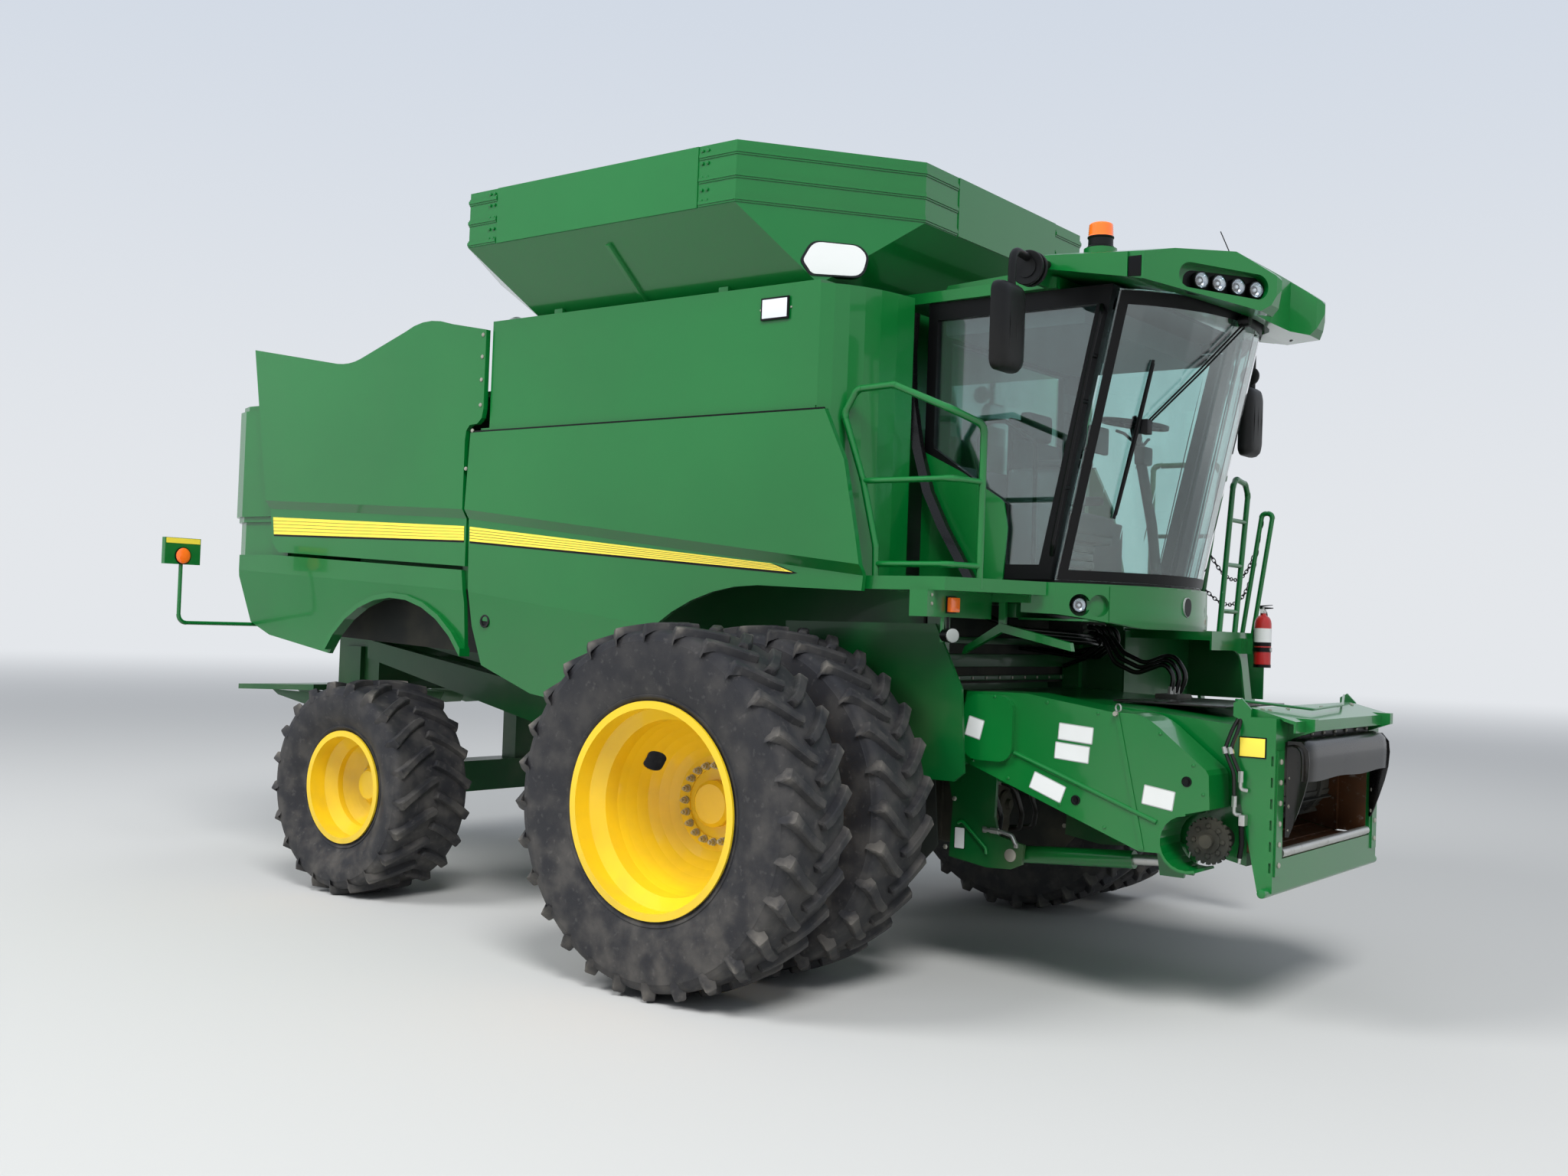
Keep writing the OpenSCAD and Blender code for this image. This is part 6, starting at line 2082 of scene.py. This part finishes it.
@dataclass
class CabFront:
    """Fascia skin with its blank badge, the space under the cab, and the extinguisher."""

    centre_x: float = 0.669
    radius: float = 1.1452
    bottle: Flat = (1.668, 1.52)

    def make(self) -> None:
        """Makes the pieces round the cab's front."""
        self.skin()
        self.under_cab()
        self.extinguisher()
        self.platforms()
        self.chain("upper_chain", [(1.5, 1.925, 2.8), (1.345, 1.935, 2.36), (1.11, 1.93, 2.56)], 30)
        self.chain("lower_chain", [(1.478, 1.925, 2.7), (1.345, 1.935, 2.21), (1.075, 1.93, 2.31)], 30)

    def skin(self) -> None:
        """Adds the smooth curved sheet over the fascia's middle, and the badge plate left blank."""
        piece = Piece("fascia_skin", "chassis", "green_paint", "body green")
        grid = []
        for index in range(69):
            angle = math.radians(-34 + index)
            side = abs(math.sin(angle) * self.radius)
            low = 1.981 + max(0.0, side - 0.44) / 0.42 * 0.066
            crease = 2.068 + 0.03 * (side / 0.64) ** 2
            row = []
            for z, proud in (
                (low, 0.0), (low + 0.012, 0.004), (crease - 0.012, 0.0065), (crease + 0.004, 0.001), (2.15, 0.0),
                (2.205, 0.0)
            ):
                reach = self.radius + proud * (1 - min(1.0, side / 0.62) ** 4)
                row.append((self.centre_x + reach * math.cos(angle), reach * math.sin(angle), z))
            grid.append(row)
        piece.panel(grid, 0.0035)
        angle = math.radians(-3.3)
        heading = (math.cos(angle), math.sin(angle), 0.0)
        where = (self.centre_x + 1.149 * heading[0], 1.149 * heading[1], 2.112)
        turn = facing(where, heading)
        for half, height, low, high, finish in (
            (0.042, 0.056, -0.006, 0.006, "label grey"), (0.038, 0.052, -0.006, 0.0085, "dark trim")
        ):
            outline = [(half * math.cos(a) * (1 + 0.1 * math.sin(a)), height * math.sin(a)) for a in turns(36)]
            piece.prism(outline, Plane.YZ, low, high, finish, turn=turn)
        piece.done()

    def under_cab(self) -> None:
        """Closes the space below the cab with its walls and slats, and adds the valve block and hoses."""
        piece = Piece("under_cab", "chassis", "green_paint_dark", "frame green")
        piece.block((0.57, -0.855, 1.625), (0.585, 0.855, 2.098), "cast iron", 0.002)
        for low, high, depth in ((1.64, 1.672, 0.03), (1.722, 1.8, 0.022), (1.86, 1.9, 0.026)):
            piece.block((0.583, -0.62, low), (0.583 + depth, 0.855, high), bevel=0.006)
        for index in range(9):
            piece.boss(
                head(0.01, 0.006, 0.008), facing((0.612, -0.52 + 0.16 * index, 1.657), (1, 0, 0)), "stud zinc", 6
            )
        piece.block((0.6, 0.862, 1.445), (1.0, 0.874, 2.098), bevel=0.002)
        piece.block((1.0, 0.862, 1.545), (1.014, 1.885, 1.975), bevel=0.002)
        piece.block((1.0, 1.878, 1.545), (1.547, 1.89, 1.932), bevel=0.002)
        piece.block((1.15, -0.8, 2.01), (1.54, -0.25, 2.022), "body green", 0.003)
        piece.block((1.1, -0.845, 2.02), (1.16, 0.845, 2.098), bevel=0.004)
        piece.block((0.84, 0.14, 1.93), (1.06, 0.48, 2.03), "cast iron", 0.01)
        for index in range(4):
            y = 0.185 + 0.08 * index
            piece.rod((1.055, y, 1.985), (1.085, y, 1.985), 0.017, "bright steel", 6)
            piece.tube([
                (1.08, y, 1.985), (1.15, y, 1.982), (1.175, y + 0.02, 1.9), (1.02, y + 0.05, 1.8),
                (0.6, y + 0.04, 1.84),
            ], 0.013, "black rubber", bend=0.07)
        for shift in (0.0, 0.07, 0.15):
            piece.tube([
                (0.6, -0.4 + shift, 2.05), (0.9, -0.36 + shift, 1.96 - shift * 0.3),
                (1.16, -0.1 + shift, 1.94 - shift * 0.3), (1.1, 0.55, 1.9 - shift * 0.2), (0.62, 0.8, 1.88 - shift),
            ], 0.014, "black rubber", bend=0.12)
        piece.done()
        self.hoses()

    @staticmethod
    def hoses() -> None:
        """Adds the hoses from the valve block to the feeder, and their block on the feeder."""
        block = Piece("hose_block", "feeder", "engine_iron", "cast iron")
        block.block((1.56, 0.11, 1.574), (1.7, 0.32, 1.612), bevel=0.008)
        block.done()
        piece = Piece("feeder_hoses", "chassis", "black_rubber", "black rubber")
        for index in range(3):
            y = 0.15 + 0.06 * index
            lift = 0.03 * index
            piece.tube([
                (1.062, y + 0.04, 1.95), (1.18, y + 0.03, 1.945), (1.27, y + 0.02, 1.78 + lift),
                (1.42, y + 0.01, 1.72 + lift), (1.6, y, 1.79 + lift), (1.66 + lift * 0.5, y, 1.72), (1.64, y, 1.606),
            ], 0.014, bend=0.1)
            piece.rod((1.64, y, 1.608), (1.643, y, 1.655), 0.018, "bright steel", 6)
            piece.rod((1.058, y + 0.04, 1.95), (1.1, y + 0.04, 1.948), 0.018, "bright steel", 6)
        item = piece.as_object()
        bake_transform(item)

    def extinguisher(self) -> None:
        """Adds the extinguisher: bottle, bands, valve, lever, gauge and hose, in place of the CAD one."""
        piece = Piece("extinguisher_set", "chassis", "red_paint", "red paint")
        x, y = self.bottle
        profile = [(0.0, 1.77), (0.04, 1.766), (0.052, 1.776), (0.0545, 1.792), (0.0545, 2.03)]
        profile += curve_points((0.0545, 2.04), (0.054, 2.09), (0.02, 2.105), 6) + [(0.019, 2.122), (0.0, 2.122)]
        piece.turned(profile, (x, y, 0), Axis.Z, steps=40)
        for low, high, finish, out in (
            (1.93, 2.02, "label white", 0.0552), (1.905, 1.93, "dark trim", 0.0553),
            (1.868, 1.896, "dark trim", 0.0575), (1.766, 1.786, "dark trim", 0.056),
        ):
            piece.turned([(0.05, low), (out, low), (out, high), (0.05, high)], (x, y, 0), Axis.Z, finish, 40)
        piece.turned([
            (0.0, 2.118), (0.02, 2.118), (0.02, 2.136), (0.014, 2.14), (0.014, 2.156), (0.0, 2.156),
        ], (x, y, 0), Axis.Z, "bright steel", 24)
        piece.prism([
            (x - 0.02, 2.142), (x + 0.062, 2.15), (x + 0.064, 2.156), (x - 0.022, 2.16),
        ], Plane.XZ, y - 0.01, y + 0.01, "dark trim", 0.002)
        piece.prism([
            (x - 0.02, 2.158), (x + 0.058, 2.171), (x + 0.06, 2.174), (x - 0.022, 2.168),
        ], Plane.XZ, y - 0.009, y + 0.009, "dark trim", 0.001)
        piece.boss(head(0.014, 0.01, 0.011), facing((x, y - 0.018, 2.132), (0, -1, 0)), "label white", 20)
        piece.tube([
            (x, y + 0.016, 2.14), (x, y + 0.052, 2.12), (x, y + 0.068, 2.04), (x, y + 0.066, 1.93),
        ], 0.009, "dark trim", bend=0.05)
        piece.block((x - 0.06, y - 0.016, 1.872), (x - 0.05, y + 0.016, 2.01), "dark trim", 0.002)
        piece.block((x + 0.046, y - 0.02, 1.87), (x + 0.062, y + 0.008, 1.894), "bright steel", 0.003)
        piece.done("fire_extinguisher")

    def platforms(self) -> None:
        """Adds the raised grip studs of both decks and the front strip's bolts."""
        profile, pitch = [(0.008, 0.0), (0.014, 0.0), (0.012, 0.004), (0.009, 0.004)], 0.041
        for name, across, along, x, y, z in (
            ("right_deck_grip", 14, 12, 0.66, -1.52, 2.1645), ("left_deck_grip", 20, 11, 0.9, 0.98, 1.9875),
        ):
            grip = Piece(name, "chassis", "green_paint", "body green")
            for index in range(across):
                grip.turned(profile, (x, y + pitch * index, z), Axis.Z, steps=8)
            Repeat.row(grip, along, (pitch, 0, 0))
        bolt = Piece("deck_edge_bolts", "chassis", "bright_steel", "stud zinc")
        bolt.boss(head(0.009, 0.005, 0.007), facing((1.06, -1.56, 2.118), (1, 0, 0)), steps=10)
        Repeat.row(bolt, 2, (0, 0, -0.045))

    def chain(self, name: str, hang: Sequence[Point], links: int) -> None:
        """Adds a chain of oval links across the ladder's gap, hooked at both ends.

        Args:
            name: name of the piece.
            hang: its first hook, lowest reach and last hook.
            links: number of links.
        """
        piece = Piece(name, "chassis", "bright_steel", "dark trim")
        first, pull, last = (Vector(point) for point in hang)
        half_width, wire = 0.011, 0.0035
        path = pulled(first, pull * 2 - (first + last) / 2, last, links)
        for index, (start, end) in enumerate(zip(path, path[1:])):
            length = (end - start).length
            quarter = Matrix.Rotation(math.radians(90 * (index % 2)), 4, "X")
            part = bmesh.new()
            rings = []
            for angle in turns(12):
                point = Vector((math.cos(angle) * length * 0.68, math.sin(angle) * half_width, 0))
                out = Vector((point.x / (length * 0.68), point.y / half_width, 0)).normalized()
                up = Vector((0, 0, wire))
                spots = [point + out * wire * math.cos(a) + up * math.sin(a) for a in turns(6)]
                rings.append([part.verts.new(spot) for spot in spots])
            bridge(part, rings + rings[:1], caps=False)
            piece.take(part, turn=facing(start.lerp(end, 0.5), end - start) @ quarter)
        piece.done()


class Underside:
    """Gearbox and shields behind the front wheels, hoses of the lift, and the rear end's trim."""

    def make(self) -> None:
        """Makes the low and rear pieces."""
        piece = Piece("transmission", "chassis", "engine_iron", "cast iron")
        piece.block((0.13, -0.33, 0.66), (0.52, 0.33, 1.06), bevel=0.04)
        for index in range(5):
            x = 0.17 + 0.08 * index
            piece.block((x, -0.345, 0.68), (x + 0.014, 0.345, 1.075), bevel=0.004)
        for y in (-0.24, 0.0, 0.24):
            turn = facing((0.515, y, 0.86), (1, 0, 0))
            piece.boss([
                (0, -0.01), (0.085, -0.01), (0.085, 0.02), (0.07, 0.03), (0.035, 0.03), (0.03, 0.055), (0, 0.055),
            ], turn)
        for y in (-0.14, 0.12, 0.3):
            piece.tube([
                (0.5, y, 1.02), (0.64, y + 0.03, 0.98), (0.66, y + 0.1, 0.82), (0.58, y + 0.22, 0.7),
                (0.3, y + 0.25, 0.66),
            ], 0.016, "black rubber", bend=0.08)
            piece.rod((0.505, y, 1.018), (0.56, y + 0.012, 1.002), 0.021, "bright steel", 6)
        for sign in (LEFT, RIGHT):
            shield = [(-0.5, 1.38), (0.6, 1.38), (0.74, 1.2), (0.78, 0.74), (0.56, 0.5), (-0.4, 0.5)]
            piece.side_prism(shield, sign, 0.952, 0.962, bevel=0.003)
            liner = [(-4.55, 1.74), (-2.53, 1.66), (-2.53, 2.2), (-4.55, 2.28)]
            piece.side_prism(liner, sign, 1.29, 1.302, "cast iron", 0.002)
            roof = [(-4.55, 2.27), (-2.53, 2.19), (-2.53, 2.2), (-4.55, 2.28)]
            piece.side_prism(roof, sign, 1.3, 1.56, "cast iron")
        piece.done()
        self.lift_pipes()
        self.rear()
        self.rim_fittings()

    def lift_pipes(self) -> None:
        """Adds the fixed pipes and hoses near the foot of the lift cylinders."""
        piece = Piece("lift_pipes", "chassis", "bright_steel", "bright steel")
        y = -0.738
        piece.tube([(0.94, y, 0.826), (1.06, y, 0.824), (1.12, y, 0.812), (1.146, y, 0.765)], 0.012, bend=0.03)
        piece.rod((0.985, y, 0.8255), (1.035, y, 0.8245), 0.018, sides=6)
        piece.tube(
            [(0.771, y, 0.845), (0.8, y, 0.86), (0.959, y, 0.72), (0.96, y, 0.69)], 0.01, "body green", bend=0.03
        )
        piece.block((0.93, y, 0.808), (0.955, -0.727, 0.842), bevel=0.004)
        piece.block((1.136, y - 0.008, 0.745), (1.16, -0.727, 0.772), bevel=0.004)
        turn = facing((0.78, -0.728, 0.76), (0, -1, 0))
        for half, height, radius, low, high, finish in (
            (0.035, 0.062, 0.006, -0.001, 0.0012, "dark trim"), (0.031, 0.058, 0.005, 0.0, 0.0022, "label white")
        ):
            piece.prism(rounded(-half, half, -height, height, radius), Plane.YZ, low, high, finish, turn=turn)
        for sign in (LEFT, RIGHT):
            turn = facing((1.11, sign * 0.7285, 0.7), (0, sign, 0))
            piece.boss([(0, 0), (0.036, 0), (0.036, 0.006), (0.026, 0.01), (0, 0.01)], turn, "stud zinc", 24)
            for x, z in ((0.7, 1.25), (0.86, 1.27), (0.69, 0.7), (0.74, 0.98)):
                turn = facing((x, sign * 0.728, z), (0, sign, 0))
                piece.boss([(0, 0), (0.015, 0), (0.015, 0.007), (0.009, 0.012), (0, 0.012)], turn, "stud zinc", 6)
        piece.done()

    @staticmethod
    def rear() -> None:
        """Adds the rear lamps, the deflector fins and the spout's rubber skirt."""
        piece = Piece("rear_lamps", "chassis", "red_paint", "red paint")
        for sign in (LEFT, RIGHT):
            turn = facing((-5.56, sign * 0.875, 3.125), (-1, 0, 0))
            piece.prism(rounded(-0.085, 0.085, -0.08, 0.08, 0.02), Plane.YZ, -0.002, 0.012, "dark trim", turn=turn)
            piece.prism(rounded(-0.072, 0.072, 0.004, 0.068, 0.012), Plane.YZ, 0.01, 0.026, bevel=0.004, turn=turn)
            piece.prism(
                rounded(-0.072, 0.072, -0.068, -0.004, 0.012), Plane.YZ, 0.01, 0.024, "amber lens", bevel=0.004,
                turn=turn
            )
        piece.done()
        fin = Piece("deflector_fins", "chassis", "green_paint_dark", "frame green")
        fin.prism([
            (-4.95, 1.255), (-5.1, 1.255), (-5.7, 1.255), (-5.62, 1.215), (-5.2, 1.15), (-5.0, 1.17),
        ], Plane.XZ, -0.82, -0.812, bevel=0.002)
        Repeat.row(fin, 8, (0, 0.232, 0))
        skirt = Piece("spout_skirt", "auger", "black_rubber", "black rubber")
        skirt.turned([
            (0.162, 3.205), (0.166, 3.205), (0.164, 3.14), (0.156, 3.06), (0.148, 3.02), (0.142, 3.022), (0.152, 3.07),
            (0.158, 3.15),
        ], (-5.88, 1.5, 0), Axis.Z, steps=40)
        skirt.turned(
            [(0.16, 3.185), (0.17, 3.185), (0.17, 3.205), (0.16, 3.205)], (-5.88, 1.5, 0), Axis.Z, "bright steel", 40
        )
        skirt.done()

    @staticmethod
    def rim_fittings() -> None:
        """Adds hub caps and valve stems to the wheels."""
        for side, sign in SIDES:
            piece = Piece(f"hub_fittings_{side}", f"duals_{side}", "yellow_paint", "rim yellow")
            turn = facing((0, sign * 1.962, 0.965), (0, sign, 0))
            piece.boss([(0, 0), (0.112, 0), (0.112, 0.028), (0.1, 0.04), (0.05, 0.05), (0, 0.052)], turn)
            piece.tube([
                (0.36, sign * 2.03, 1.32), (0.37, sign * 2.09, 1.335), (0.375, sign * 2.1, 1.345),
            ], 0.006, "dark trim", bend=0.01, sides=8)
            piece.done()


def main() -> None:
    """Builds the machine's pieces in order."""
    logging.basicConfig(level=logging.INFO, format="%(message)s")
    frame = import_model()
    studio = Studio()
    studio.camera()
    studio.floor()
    studio.light()
    dress_nodes(frame["nodes"])
    for group in (
        Wheels(), SidePanels(), TankTop(), Lamps(), Mirrors(), CabTrim(), CabRoom(), FeederFace(), FeederCover(),
        CabFront(), Underside(),
    ):
        LOG.info("making %s", type(group).__name__)
        group.make()


if __name__ == "__main__":
    main()
